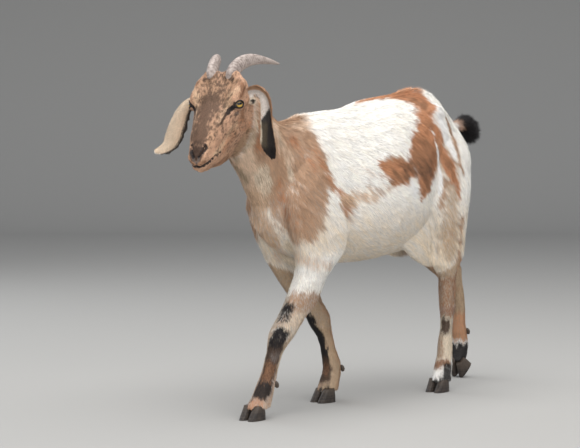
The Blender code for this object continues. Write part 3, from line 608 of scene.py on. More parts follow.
# %% Tones
TONES = {
    "white": (0.90, 0.88, 0.85),
    "cream": (0.70, 0.60, 0.47),
    "fawn": (0.46, 0.33, 0.215),
    "sand": (0.60, 0.415, 0.275),
    "tan": (0.43, 0.265, 0.165),
    "face": (0.54, 0.330, 0.218),
    "rust": (0.48, 0.225, 0.115),
    "brown": (0.27, 0.135, 0.072),
    "dark": (0.060, 0.034, 0.023),
    "black": (0.013, 0.011, 0.012),
    "grey": (0.15, 0.125, 0.115),
    # olive is painted shade: the dull olive of shadow, put under the jaw, on the throat and low inside the
    # left ear
    "olive_shade": (0.20, 0.155, 0.085),
    "pink": (0.50, 0.33, 0.26),
}
Patch = namedtuple("Patch", "tone side share ragged route")
PATCHES = [  # routes of (ahead, up, radius) and the depth of the ragged edge, in mm
    # neck and shoulder
    Patch("tan", "both", 0.75, 12, [(300, 600, 36), (260, 520, 46), (250, 450, 44), (240, 410, 24)]),
    Patch("tan", "both", 0.70, 12, [(235, 640, 30), (200, 600, 45), (190, 550, 46)]),
    Patch("tan", "both", 0.80, 12, [(190, 550, 46), (200, 480, 44), (215, 420, 30)]),
    Patch("tan", "both", 0.85, 10, [(175, 630, 16), (162, 580, 20), (132, 515, 12)]),
    Patch("rust", "both", 0.65, 12, [(215, 612, 16), (190, 585, 14), (180, 560, 10)]),
    Patch("rust", "both", 0.60, 10, [(168, 600, 10), (156, 565, 12), (122, 500, 10)]),
    Patch("rust", "both", 0.50, 12, [(262, 520, 14), (252, 470, 16), (235, 430, 12)]),
    Patch("cream", "both", 0.55, 8, [(264, 650, 7), (256, 615, 6)]),
    Patch("cream", "both", 0.65, 6, [(246, 570, 6), (238, 535, 7)]),
    Patch("cream", "both", 0.65, 10, [(322, 580, 16), (305, 545, 20), (292, 505, 18)]),
    Patch("sand", "both", 0.60, 12, [(315, 480, 30), (290, 430, 34), (255, 385, 26)]),
    Patch("cream", "both", 0.35, 12, [(185, 460, 12), (168, 435, 22), (165, 385, 24)]),
    Patch("sand", "both", 0.50, 12, [(245, 375, 14), (220, 350, 18), (150, 335, 16)]),
    # painted shade on the throat below the jaw, in olive
    Patch("olive_shade", "both", 0.40, 10, [(392, 565, 16), (372, 535, 20), (352, 500, 12)]),
    # side
    Patch("rust", "both", 0.80, 9, [(118, 510, 10), (103, 485, 14), (88, 458, 12)]),
    Patch("sand", "left", 0.70, 11, [(105, 490, 16), (75, 480, 16), (45, 490, 14), (20, 482, 14)]),
    Patch("tan", "left", 0.45, 10, [(95, 455, 12), (80, 430, 12)]),
    Patch("tan", "left", 0.40, 8, [(45, 550, 8), (25, 535, 10)]),
    Patch("tan", "left", 0.60, 10, [(-5, 500, 10), (-20, 498, 12), (-42, 510, 14)]),
    Patch("tan", "left", 0.85, 9, [(-8, 562, 10), (-40, 562, 16), (-80, 570, 12)]),
    Patch("rust", "left", 1.00, 9, [(-20, 545, 14), (-60, 540, 30), (-95, 550, 28)]),
    Patch("brown", "left", 0.80, 10, [(-28, 522, 8), (-55, 530, 18), (-85, 528, 12)]),
    Patch("rust", "right", 0.80, 12, [(80, 560, 30), (30, 530, 45), (-10, 500, 30)]),
    Patch("brown", "right", 0.60, 12, [(60, 550, 14), (20, 525, 20)]),
    # hip
    Patch("rust", "left", 1.00, 9, [(-195, 668, 26), (-196, 625, 46), (-172, 575, 56), (-170, 524, 38)]),
    Patch("rust", "left", 1.00, 7, [(-172, 520, 30), (-156, 490, 12), (-150, 466, 4)]),
    Patch("rust", "left", 1.00, 7, [(-120, 572, 12), (-140, 560, 28), (-170, 550, 40)]),
    Patch("brown", "left", 0.50, 10, [(-212, 658, 16), (-196, 635, 12), (-185, 615, 8)]),
    Patch("brown", "left", 0.55, 12, [(-100, 560, 18), (-132, 560, 34), (-170, 570, 48), (-205, 590, 30)]),
    Patch("dark", "left", 0.45, 12, [(-75, 545, 20), (-120, 552, 24), (-178, 540, 34), (-192, 510, 18)]),
    Patch("brown", "left", 0.70, 7, [(-172, 505, 14), (-156, 486, 6)]),
    Patch("rust", "right", 1.00, 10, [(-120, 640, 40), (-170, 570, 55), (-160, 500, 25)]),
    Patch("brown", "right", 0.80, 12, [(-140, 600, 24), (-170, 550, 30)]),
    Patch("white", "left", 0.90, 5, [(-104, 524, 7), (-112, 508, 10), (-122, 490, 14)]),
    # rump
    Patch("fawn", "both", 0.65, 12, [(-250, 600, 24), (-262, 520, 34), (-268, 440, 30), (-262, 350, 26)]),
    Patch("rust", "both", 0.90, 6, [(-246, 650, 7), (-246, 600, 11), (-258, 556, 19), (-270, 532, 16)]),
    Patch("brown", "both", 0.65, 6, [(-256, 560, 10), (-272, 536, 10)]),
    Patch("rust", "both", 0.75, 6, [(-280, 520, 10), (-285, 480, 9)]),
    Patch("tan", "both", 0.80, 6, [(-243, 520, 8), (-241, 480, 9), (-230, 456, 8)]),
    Patch("white", "left", 0.95, 2,
          [(-206, 634, 2), (-225, 600, 3), (-232, 565, 3.5), (-231, 530, 4), (-228, 490, 5)]),
    Patch("white", "both", 0.95, 5, [(-238, 695, 16), (-256, 655, 14), (-269, 618, 12), (-281, 580, 8)]),
    Patch("tan", "both", 0.85, 4, [(-284, 668, 6), (-297, 612, 7), (-306, 560, 7), (-306, 530, 4)]),
    Patch("tan", "both", 0.75, 6, [(-297, 430, 7), (-298, 370, 9), (-292, 310, 12)]),
    Patch("tan", "both", 0.40, 8, [(-262, 420, 8), (-262, 360, 8)]),
]
SPINE = [  # routes of (left, ahead, radius) over the back, where the skin says how high, in mm
    Patch("rust", "top", 0.7, 6, [(4, -15, 3), (6, -60, 10)]),
    Patch("rust", "top", 1.0, 7, [(6, -60, 10), (8, -110, 18), (12, -155, 26)]),
    Patch("rust", "top", 1.0, 7, [(12, -155, 26), (28, -190, 30), (55, -206, 30)]),
    Patch("brown", "top", 0.6, 8, [(10, -110, 6), (18, -158, 10), (50, -206, 15)]),
    Patch("rust", "top", 0.95, 8, [(0, -150, 22), (2, -200, 26), (6, -232, 18)]),
    Patch("brown", "top", 0.50, 8, [(0, -160, 14), (2, -215, 16)]),
    Patch("rust", "top", 0.9, 8, [(-40, 20, 20), (-55, -100, 30), (-60, -180, 30)]),
    Patch("tan", "top", 0.85, 9, [(0, 255, 34), (0, 180, 20)]),
]
Band = namedtuple("Band", "tone part share low high facing spread")
BAND_EDGE = 0.006
BANDS = [  # along a leg: between two heights in mm, where the skin faces (ahead, outward) within a spread
    Band("fawn", "fore_leg_left", 0.60, 170, 275, None, 0),
    Band("tan", "fore_leg_left", 0.60, 200, 280, (0.4, 1), 70),
    Band("cream", "fore_leg_left", 0.50, 185, 240, (0.6, 1), 45),
    Band("black", "fore_leg_left", 0.92, 218, 254, (1, 0.15), 42),
    Band("black", "fore_leg_left", 0.96, 150, 203, (1, 0.8), 42),
    Band("fawn", "fore_shank_left", 0.75, 100, 200, None, 0),
    Band("cream", "fore_shank_left", 0.70, 100, 200, (-1, 0.2), 60),
    Band("tan", "fore_shank_left", 0.70, 20, 110, None, 0),
    Band("cream", "fore_shank_left", 0.60, 30, 110, (-1, 0.2), 50),
    Band("black", "fore_shank_left", 0.95, 156, 203, (1, 0.8), 46),
    Band("grey", "fore_leg_left", 0.70, 184, 194, (1, 1.0), 14),
    Band("dark", "fore_shank_left", 0.88, 44, 162, (1, 0.7), 62),
    Band("grey", "fore_shank_left", 0.60, 132, 154, (1, 1.2), 34),
    Band("brown", "fore_shank_left", 0.60, 82, 128, (1, 0.8), 50),
    Band("black", "fore_shank_left", 0.70, 46, 80, (1, 0.7), 60),
    Band("rust", "fore_shank_left", 0.60, 24, 46, (1, 0.5), 50),
    Band("fawn", "fore_leg_right", 0.80, 160, 340, None, 0),
    Band("tan", "fore_leg_right", 0.60, 160, 300, (-1, 0), 80),
    Band("black", "fore_leg_right", 0.95, 180, 222, (1, 0.1), 56),
    Band("fawn", "fore_shank_right", 0.90, 20, 190, None, 0),
    Band("tan", "fore_shank_right", 0.55, 20, 190, (-1, -0.5), 60),
    Band("black", "fore_shank_right", 0.97, 100, 200, (1, 0.3), 62),
    Band("dark", "fore_shank_right", 0.92, 45, 110, (1, 0.3), 70),
    Band("brown", "fore_shank_right", 0.45, 64, 92, (1, 0.2), 44),
    Band("pink", "fore_shank_right", 0.60, 34, 50, (1, 0.4), 26),
    Band("black", "fore_shank_right", 0.85, 22, 36, (1, 0.2), 80),
    Band("fawn", "hind_leg_left", 0.75, 200, 330, None, 0),
    Band("brown", "hind_leg_left", 0.55, 200, 285, None, 0),
    Band("rust", "hind_leg_left", 0.50, 240, 330, (-1, 0.2), 70),
    Band("brown", "hind_shank_left", 0.75, 180, 220, None, 0),
    Band("cream", "hind_shank_left", 0.90, 80, 186, None, 0),
    Band("grey", "hind_shank_left", 0.35, 140, 190, None, 0),
    Band("dark", "hind_shank_left", 0.85, 142, 180, (1, 0.6), 46),
    Band("brown", "hind_shank_left", 0.50, 86, 140, (1, -0.3), 46),
    Band("brown", "hind_shank_left", 0.85, 56, 82, (1, 0), 96),
    Band("white", "hind_shank_left", 0.80, 36, 58, (1, 0), 70),
    Band("black", "hind_shank_left", 0.90, 30, 70, (0.2, 1), 34),
    Band("black", "hind_shank_left", 0.85, 20, 36, None, 0),
    Band("fawn", "hind_leg_right", 0.85, 200, 400, None, 0),
    Band("tan", "hind_leg_right", 0.50, 200, 340, (1, 0), 80),
    Band("fawn", "hind_shank_right", 0.90, 95, 235, None, 0),
    Band("rust", "hind_shank_right", 0.60, 95, 170, None, 0),
    Band("black", "hind_shank_right", 0.95, 20, 88, None, 0),
]
HEAD_PATCHES = [  # routes of (down the face, out, out of the forehead, radius) in mm
    Patch("tan", "both", 0.70, 6, [(30, 20, 4, 24), (60, 16, 4, 20)]),
    Patch("tan", "both", 0.55, 5, [(105, 26, -2, 12), (180, 22, -12, 10)]),
    Patch("sand", "both", 0.55, 4, [(100, 46, -50, 14), (130, 38, -45, 10)]),
    Patch("sand", "both", 0.75, 3, [(150, 33, -46, 8), (168, 31, -44, 7), (185, 29, -36, 5)]),
    Patch("rust", "both", 0.40, 4, [(110, 40, -60, 12), (155, 34, -58, 10)]),
    Patch("brown", "both", 0.60, 4, [(52, 58, -34, 12), (68, 55, -60, 11)]),
    Patch("rust", "both", 0.40, 5, [(85, 50, -60, 14), (60, 46, -95, 14)]),
    # painted shade under the jaw, in olive
    Patch("olive_shade", "both", 0.40, 9, [(60, 26, -120, 18), (110, 12, -118, 16)]),
    Patch("brown", "both", 0.55, 3, [(150, 24, -92, 10), (190, 18, -70, 6)]),
    Patch("sand", "both", 0.65, 2, [(212, 12, -58, 5), (214, 0, -62, 5)]),
    Patch("brown", "both", 0.60, 4, [(20, 46, -6, 8), (36, 58, -16, 9)]),
    Patch("brown", "both", 0.55, 3, [(48, 54, -6, 6), (56, 56, -10, 6)]),
    Patch("sand", "both", 0.60, 4, [(38, 48, -4, 5), (55, 40.5, -2, 6.5)]),
    Patch("sand", "both", 0.72, 4, [(55, 40.5, -2, 6.5), (72, 36, -3, 6.8), (88, 34, -4, 6)]),
    Patch("sand", "both", 0.60, 4, [(88, 34, -4, 6), (108, 30.5, -6, 5), (124, 28, -8, 4)]),
    Patch("rust", "both", 0.60, 6, [(5, 45, -105, 16), (35, 45, -125, 16), (60, 45, -150, 14)]),
    Patch("cream", "both", 0.85, 2, [(28, 50, -98, 3), (49, 49, -116, 3.5)]),
    Patch("dark", "both", 0.55, 4, [(186, 6, -4, 11), (204, 8, -10, 12)]),
    Patch("dark", "both", 0.80, 2.0, [(200, 6, -10, 10), (212, 4, -18, 9)]),
    # grey spots on the wet nose pad: a painted highlight
    Patch("grey", "both", 0.75, 1.0, [(207, 11, -14, 2.6), (215, 5, -20, 2.6), (221, 0, -28, 2)]),
    Patch("brown", "both", 0.70, 2.0, [(214, 14, -24, 4), (220, 4, -28, 4)]),
    Patch("black", "both", 0.92, 1.5, [(72, 52, -10, 4), (78, 46, -13, 5.8)]),
    Patch("black", "both", 0.90, 1.5, [(78, 46, -13, 5.8), (86, 40, -13, 5.2), (100, 36, -12, 3.6)]),
    Patch("dark", "both", 0.85, 1.5, [(100, 36, -12, 3.6), (112, 33, -12, 3), (126, 31, -12, 1.8)]),
    Patch("grey", "both", 0.65, 1.2, [(85, 53, -28, 3.4), (74, 58, -35, 3.4)]),
    Patch("dark", "both", 0.70, 2.0, [(8, 14, 2, 4), (13, 32, 2, 5)]),
    Patch("black", "both", 0.97, 0.6, [(*row, 4) for row in NOSTRIL]),
    Patch("black", "both", 0.95, 0.6, [(*row, 2.4 + 0.26 * k) for k, row in enumerate(MOUTH)]),
]
Dapple = namedtuple("Dapple", "side share edge route")
DAPPLES = [  # how densely dark hairs stand along a route on the head, fading over the edge, in mm
    Dapple("both", 0.23, 10, [(0, 10, 0, 36), (70, 8, 4, 32)]),
    Dapple("both", 0.38, 9, [(80, 12, 3, 26), (160, 14, -2, 22)]),
    Dapple("left", 0.38, 8, [(66, -2, 4, 10), (98, -10, 4, 16), (160, -10, 2, 18)]),
    Dapple("both", 0.40, 6, [(150, 3, 3, 12), (196, 5, -4, 14)]),
    Dapple("both", 0.18, 8, [(90, 44, -30, 16), (150, 32, -28, 12)]),
    Dapple("both", 0.20, 8, [(90, 48, -70, 26), (140, 36, -70, 18)]),
]

# %% [markdown]
# A route in a table has no depth.  On the side of the body the outermost skin at that place
# gives it, on the back the topmost, and on the head the route is draped.

# %% Routes on the skin
def on_side(points, side, ahead, up):
    """The place on the skin at that distance ahead and height, on one side of the body."""
    miss = (points[:, 1] + ahead) ** 2 + (points[:, 2] - up) ** 2
    miss = np.where(points[:, 0] * side > 0, miss, np.inf)
    near = np.flatnonzero(miss <= max(miss.min(), 0.006**2))
    best = near[np.argmax(points[near, 0] * side)]
    return points[best]


def on_top(points, left, ahead):
    """The topmost place on the skin that far to the left and ahead."""
    miss = (points[:, 0] - left) ** 2 + (points[:, 1] + ahead) ** 2
    near = np.flatnonzero(miss <= max(miss.min(), 0.006**2))
    return points[near[np.argmax(points[near, 2])]]


def sides_of(patch):
    """1 for the left side, -1 for the right, or both."""
    return SIDES.values() if patch.side == "both" else (SIDES[patch.side],)


def body_routes():
    """Every marking of the body with its route as places in space."""
    body = coords(skin.data)
    made = []
    for patch in PATCHES:
        for side in sides_of(patch):
            route = [(*on_side(body, side, *row[:2]), row[2]) for row in metres(patch.route)]
            made.append(patch._replace(route=route))
    for patch in SPINE:
        made.append(patch._replace(route=[(*on_top(body, *row[:2]), row[2]) for row in metres(patch.route)]))
    return made


def head_routes(patches):
    """The same for the head, with every route laid on its skin."""
    face = coords(skin.data)
    face = face[np.linalg.norm(face - MID_HEAD, axis=1) < 0.19]
    made = []
    for patch in patches:
        for side in sides_of(patch):
            route = [(*face_place(row, side), row[3]) for row in metres(patch.route)]
            made.append(patch._replace(route=draped(route, face)))
    return made


BODY_MARKS, HEAD_MARKS, DAPPLE_MARKS = body_routes(), head_routes(HEAD_PATCHES), head_routes(DAPPLES)
print("markings on the body:", len(BODY_MARKS), "legs:", len(BANDS), "head:", len(HEAD_MARKS))

# %% [markdown]
# A marking's edge isn't a line: hairs of both colours cross it.  So each mask is moved about by
# noise that is drawn out along the hair, and a single tuft takes one tone or the other by
# chance.  Dark hairs also stand singly among the brown ones of the face, dense on its bridge.

# %% Streaks and dapples
def toward(tone, name, mask):
    """Mixes a named tone in where the mask is 1."""
    return tone + (np.array(TONES[name]) - tone) * mask[:, None]


def picked(mask, hairs):
    """For hairs the mask is a chance, so that each tuft takes one tone or the other."""
    return mask if np.isscalar(hairs) else ramp(mask + 1.2 * hairs * mask * (1 - mask), 0.15, 0.85)


def streaks_of(points, shares):
    """Noise that is drawn out along the hair: coarse and fine streaks."""
    trunk = share_of(shares, "trunk")
    slant = unit(at(0, -0.75, -0.66))
    across = np.cross(slant, LEFT)
    grain = np.stack([points @ slant / 6, points @ across, points @ LEFT], 1)
    drop = np.stack([points[:, 0], points[:, 1], points[:, 2] / 6], 1)
    mixed = []
    for coarse, seed in ((0.0085, 21), (0.0032, 22)):
        elsewhere = noise(drop, coarse * 0.8, seed + 9)
        mixed.append(trunk * noise(grain, coarse, seed) + (1 - trunk) * elsewhere)
    return mixed


def dappled(points, shares, tone, hairs):
    """Dark hairs among the others, drawn out down the face: dense on the nose, few on the cheeks."""
    along, over, brow = in_head(points)
    face = np.stack([along / 1.7, over, brow], 1)
    specks = 0.50 * noise(face, 0.0042, 51) + 0.65 * noise(face, 0.0024, 52) + 0.45 * hairs
    dense = np.full(len(points), 0.06)
    for patch in DAPPLE_MARKS:
        away = chain_distance(points, patch.route) / (patch.edge * MM)
        dense += patch.share * ramp(-away, -1, 1)
    own = ramp(share_of(shares, "head"), 0.4, 0.8)
    return toward(tone, "dark", 0.82 * own * ramp(specks + 1.2 * dense, 0.28, 0.90))


print("the face is dappled along", len(DAPPLE_MARKS), "routes")

# %% [markdown]
# The ears hang.  The left one is turned so that its lining shows, white under the arch and black
# below; the right one shows its pale back and a black rear edge.  The edge is found by fitting
# the middle line and the width of the ear.

# %% Tones of the ears
def across_ear(points, own):
    """How far across an ear each point is, from -1 at its front edge to 1 at its rear edge."""
    ear = points[own > 0.5]
    centre = ear.mean(0)
    long = np.linalg.svd((ear - centre)[::7], full_matrices=False)[2][0]
    rear = unit(np.cross(np.cross(long, at(0.5, -0.5, -0.3)), long))
    u, v = (ear - centre) @ long, (ear - centre) @ rear
    bend = np.polyfit(u, v, 3)
    half = np.polyfit(u, np.abs(v - np.polyval(bend, u)), 3)
    u, v = (points - centre) @ long, (points - centre) @ rear
    return (v - np.polyval(bend, u)) / np.maximum(1.7 * np.polyval(half, u), 0.004)


def ear_tone(points, out, shares, tone, rough):
    """The left ear shows its lining, white above and black below; the right one its pale back."""
    own = ramp(share_of(shares, "ear_right"), 0.3, 0.7)
    tone = toward(tone, "sand", 0.85 * own)
    tone = toward(tone, "cream", (0.35 + 0.10 * rough) * own)
    tone = toward(tone, "cream", 0.45 * own * ramp(out @ unit(at(0.1, 0.5, 1)), 0.2, 0.8))
    tone = toward(tone, "white", 0.80 * own * ramp(out @ unit(at(-0.4, -0.8, -0.4)), 0.0, 0.3))
    if (own > 0.5).sum() > 200:
        tone = toward(tone, "black", 0.95 * own * ramp(across_ear(points, own) + 0.1 * rough, 0.72, 0.92))

    own = ramp(share_of(shares, "ear_left"), 0.3, 0.7)
    inside = own * ramp(out @ AHEAD, -0.05, 0.25)
    left, up = points[:, 0], points[:, 2]
    bent = np.hypot(left - 0.066, np.maximum(up - 0.690, 0)) + 0.002 * rough
    hung = np.clip(0.690 - up, 0, 1)
    back = ramp(bent, 0.0265 + 0.34 * hung, 0.0285 + 0.34 * hung)
    tone = toward(tone, "rust", 0.35 * own * (1 - inside))
    tone = toward(tone, "white", 0.75 * inside * (1 - back))
    tone = toward(tone, "grey", 0.30 * inside * (1 - back) * ramp(bent, 0.016, 0.024))
    edge = 0.030 - 0.62 * hung
    below = ramp(bent, edge, edge + 0.003) * ramp(hung, 0.004, 0.016)
    tone = toward(tone, "black", 0.96 * inside * (1 - back) * below)
    # olive painted shade low inside the hanging lining
    tone = toward(tone, "olive_shade", 0.30 * inside * ramp(hung, 0.03, 0.05) * (1 - ramp(bent, 0.020, 0.026)))
    rim = (1 - ramp(bent, 0.0085, 0.0105)) * (1 - ramp(hung, 0.075, 0.090))
    tone = toward(tone, "cream", 0.85 * own * rim)
    tone = toward(tone, "black", 0.92 * own * ramp(hung, 0.086, 0.100))
    toward_ear = unit(LEFT + AHEAD)
    depth_in = (points - CONCHA) @ toward_ear
    aside = np.linalg.norm(points - CONCHA - depth_in[:, None] * toward_ear, axis=1)
    near = 1 - ramp(np.abs(depth_in), 0.009, 0.011)
    tone = toward(tone, "cream", 0.75 * near * (1 - ramp(aside, 0.0085, 0.0100)))
    return toward(tone, "black", 0.95 * near * (1 - ramp(aside, 0.0044, 0.0054)))

# %% [markdown]
# Now one function can say the tone anywhere.  It lays the ground colour, then each marking over
# the last, and is asked twice: at the vertices of the skin, and later at the root of each tuft.

# %% The tone at any place
def tone_of(points, out, shares, hairs=0):
    """The colour of the coat at many places; hairs adds a little chance to every edge."""
    rough = 0.6 * noise(points, 0.022, 11) + 0.4 * noise(points, 0.008, 12)
    fine_rough = 0.6 * noise(points, 0.006, 13) + 0.4 * noise(points, 0.0025, 14)
    coarse, fine = streaks_of(points, shares)
    streak = 0.6 * coarse + 0.5 * fine + 0.5 * hairs

    white = np.tile(np.array(TONES["white"]), (len(points), 1))
    tone = toward(white, "cream", np.clip(0.14 + 0.34 * streak, 0, 1))
    # cream toward the underside: partly the coat's own cream, partly painted shade of the belly
    below = ramp(-points[:, 2], -0.50, -0.36) * share_of(shares, "trunk")
    tone = toward(tone, "cream", np.clip(0.75 * below * (1 + 0.8 * streak), 0, 1))
    tone = toward(tone, "sand", 0.85 * share_of(shares, "neck"))
    tone = toward(tone, "tan", ramp(share_of(shares, "ear_left", "ear_right", "tail"), 0.3, 0.7))
    tone = toward(tone, "face", ramp(share_of(shares, "head"), 0.3, 0.7))
    for patch in BODY_MARKS:
        away = chain_distance(points, patch.route) + patch.ragged * MM * (0.8 * rough + 1.5 * streak)
        soft = 0.0017 * patch.ragged
        tone = toward(tone, patch.tone, picked(patch.share * ramp(-away, -soft, soft), hairs))
    for band in BANDS:
        height = points[:, 2] + 0.008 * rough + 0.010 * streak
        low, high = metres((band.low, band.high))
        mask = band.share * ramp(share_of(shares, band.part), 0.25, 0.6)
        mask = mask * ramp(height, low - BAND_EDGE, low + BAND_EDGE)
        mask = mask * (1 - ramp(height, high - BAND_EDGE, high + BAND_EDGE))
        if band.facing:
            outward = LEFT * SIDES[band.part.rsplit("_", 1)[1]]
            way = unit(AHEAD * band.facing[0] + outward * band.facing[1])
            edge = math.cos(math.radians(band.spread))
            mask = mask * ramp(out @ way + 0.15 * rough + 0.10 * streak, edge - 0.12, edge + 0.12)
        tone = toward(tone, band.tone, picked(mask, hairs))
    for patch in HEAD_MARKS:
        torn = 0.6 * rough + 1.1 * fine_rough + 0.4 * hairs
        away = chain_distance(points, patch.route) + patch.ragged * MM * torn
        soft = 0.35 * MM * (1 + patch.ragged)
        tone = toward(tone, patch.tone, picked(patch.share * ramp(-away, -soft, soft), hairs))
    tone = dappled(points, shares, tone, hairs)
    tone = ear_tone(points, out, shares, tone, rough)
    dock = ramp(points[:, 1], 0.386, 0.396) * ramp(points[:, 2], 0.595, 0.605)
    tone = toward(tone, "brown", 0.85 * dock)
    tip = np.linalg.norm(points - TAIL_ROOT, axis=1) + 0.006 * rough
    tone = toward(tone, "black", ramp(share_of(shares, "tail"), 0.2, 0.5) * ramp(tip, 0.004, 0.016))
    mottled = 1 + 0.17 * streak + 0.05 * rough + (0.14 + 0.14 * share_of(shares, "head")) * hairs
    return (tone * mottled[:, None]).clip(0.008, 0.93)


skin_points, skin_out = coords(skin.data), normals(skin.data)
shares = shares_of(skin.data, nearest_part(skin_points), 10)
lie = lie_of(skin_points, skin_out, shares)
tone = tone_of(skin_points, skin_out, shares)
print("mean tone", tone.mean(0).round(3))

# %% [markdown]
# The hair's sizes are stored on the skin beside its tone and its lie, because Geometry Nodes
# read them there.  Hair gets shorter and finer toward the nose and the hooves, and none grows in
# the eyes, the nostrils or the mouth, on the nose pad or where a horn comes out.

# %% Hair stored on the skin
NOSE_PAD = on_head(0.216, 0, -0.020)


def hair_sizes(points, shares):
    length = shares @ np.array([hair.length for hair in HAIR_OF])
    width = shares @ np.array([hair.width for hair in HAIR_OF])
    along, over, brow = in_head(points)
    fine = share_of(shares, "head") * ramp(along, 0.04, 0.20)
    length = length * (1 - 0.45 * fine)
    width = width * (1 - 0.25 * fine)
    low_leg = 1 - ramp(points[:, 2], 0.03, 0.12)
    return length * (1 - 0.3 * low_leg), width * (1 - 0.2 * low_leg)


def bare(points):
    """0 where no hair grows, 1 elsewhere."""
    covered = ramp(np.linalg.norm(points - NOSE_PAD, axis=1), 0.011, 0.017)
    for label in SIDES:
        reach, share, turn = eye_angles(points, GAZE[label])
        lidded = (1 - ramp(share, 1.35, 1.75)) * (reach < EYE_RADIUS + 6 * MM)
        covered = covered * (1 - lidded)
        for route in (NOSTRIL, MOUTH):
            chain = draped([(*face_place(row, SIDES[label]), 0) for row in metres(route)], points)
            covered = covered * ramp(chain_distance(points, chain), 0.0032, 0.0050)
        seat = SOLIDS[f"horn_{label}"].data
        tree = BVHTree.FromPolygons([v.co[:] for v in seat.vertices], [f.vertices[:] for f in seat.polygons])
        near = np.flatnonzero(np.linalg.norm(points - on_head(0, 0, 0), axis=1) < 0.07)
        gap = np.array([tree.find_nearest(points[k].tolist())[3] for k in near])
        covered[near] *= ramp(gap, 0.0005, 0.0030)
    return covered


def hair_rise(points, shares):
    """How steeply the tufts stand: most on the tail, and more behind the croup's crest."""
    rise = shares @ np.array([hair.rise for hair in HAIR_OF])
    crest = np.exp(-(((points[:, 1] - 0.225) / 0.035) ** 2)) * ramp(points[:, 2], 0.62, 0.68)
    crest = crest * ramp(-np.abs(points[:, 0]), -0.05, -0.02)
    return rise * (1 + 1.6 * crest)


hair_length, hair_width = hair_sizes(skin_points, shares)
keep(skin.data, "tone", "FLOAT_COLOR", np.column_stack([tone, np.ones(len(tone))]))
keep(skin.data, "lie", "FLOAT_VECTOR", lie)
keep(skin.data, "hair_length", "FLOAT", hair_length)
keep(skin.data, "hair_width", "FLOAT", hair_width)
keep(skin.data, "hair_rise", "FLOAT", hair_rise(skin_points, shares))
keep(skin.data, "hair_share", "FLOAT", bare(skin_points))
print("hair from", hair_length.min().round(4), "to", hair_length.max().round(4), "m long")

# %% [markdown]
# A node tree is easier to read as sums than as wires.  This class wraps an output, so that an
# expression such as `1 - mask * 0.5` adds its Math nodes by itself.  Everything else comes from
# one method, `node`, which takes the type, its settings and what its sockets get.

# %% Node trees written as sums
class Wire:
    """An output of a node, which takes part in sums with other wires and with numbers."""

    def __init__(self, maker, socket):
        self.maker, self.socket = maker, socket

    def _math(self, operation, first, second=None):
        values = {0: first} if second is None else {0: first, 1: second}
        return self.maker.node("ShaderNodeMath", {"operation": operation}, values)

    def __add__(self, other):
        return self._math("ADD", self, other)

    def __radd__(self, other):
        return self._math("ADD", other, self)

    def __sub__(self, other):
        return self._math("SUBTRACT", self, other)

    def __rsub__(self, other):
        return self._math("SUBTRACT", other, self)

    def __mul__(self, other):
        return self._math("MULTIPLY", self, other)

    def __rmul__(self, other):
        return self._math("MULTIPLY", other, self)

    def __truediv__(self, other):
        return self._math("DIVIDE", self, other)

    def __abs__(self):
        return self._math("ABSOLUTE", self)


class Maker:
    """Adds nodes to one tree, left to right."""

    def __init__(self, tree):
        self.tree, self.count = tree, 0

    def node(self, kind, settings=None, values=None, out=0):
        """A node's output, after its settings are made and its sockets filled or linked."""
        made = self.tree.nodes.new(kind)
        self.count += 1
        made.location = (200 * (self.count % 40), -220 * (self.count // 40))
        for name, value in (settings or {}).items():
            if name == "stops":
                self.stops(made.color_ramp, value)
            else:
                setattr(made, name, value)
        for name, value in (values or {}).items():
            socket = self.socket(made.inputs, name)
            if isinstance(value, Wire):
                self.tree.links.new(value.socket, socket)
            else:
                socket.default_value = value
        return Wire(self, self.socket(made.outputs, out)) if len(made.outputs) else made

    @staticmethod
    def socket(sockets, name):
        """By place or by name, leaving out those that the node's settings switch off."""
        open_ones = [socket for socket in sockets if not socket.is_unavailable]
        if isinstance(name, int):
            return open_ones[name]
        return next(socket for socket in open_ones if socket.name == name)

    @staticmethod
    def stops(color_ramp, wanted):
        elements = color_ramp.elements
        while len(elements) < len(wanted):
            elements.new(0.5)
        for element, (position, grey) in zip(elements, wanted):
            element.position = position
            element.color = (grey, grey, grey, 1)

    def mixed(self, factor, first, second):
        """A colour between two colours."""
        settings = {"data_type": "RGBA", "clamp_factor": True}
        return self.node("ShaderNodeMix", settings, {"Factor": factor, "A": first, "B": second})

    def brightened(self, colour, factor):
        """A colour times a number."""
        return self.node("ShaderNodeVectorMath", {"operation": "SCALE"}, {"Vector": colour, "Scale": factor})

    def ramped(self, value, low, high):
        """0 below low, 1 above high."""
        settings = {"interpolation_type": "SMOOTHSTEP"}
        return self.node("ShaderNodeMapRange", settings, {"Value": value, "From Min": low, "From Max": high})

# %% [markdown]
# Skin and hair share one idea: the tone is read from the mesh, so both have the same markings
# whatever shows through.  Under short hair the skin still looks hairy, so its bump is fine
# noise that is stretched along the hair.  A hair is darker at its root, where less light comes.

# %% Finishes of skin and coat
def material(name, rough, specular=0.5, coat=0.0, coat_rough=0.03):
    """A new material: its maker, its shader and itself."""
    made = bpy.data.materials.new(name)
    made.use_nodes = True
    shader = made.node_tree.nodes["Principled BSDF"]
    shader.inputs["Roughness"].default_value = rough
    shader.inputs["Specular IOR Level"].default_value = specular
    shader.inputs["Coat Weight"].default_value = coat
    shader.inputs["Coat Roughness"].default_value = coat_rough
    return Maker(made.node_tree), shader, made


def into(maker, shader, **links):
    for name, wire in links.items():
        maker.tree.links.new(wire.socket, shader.inputs[name.replace("_", " ")])


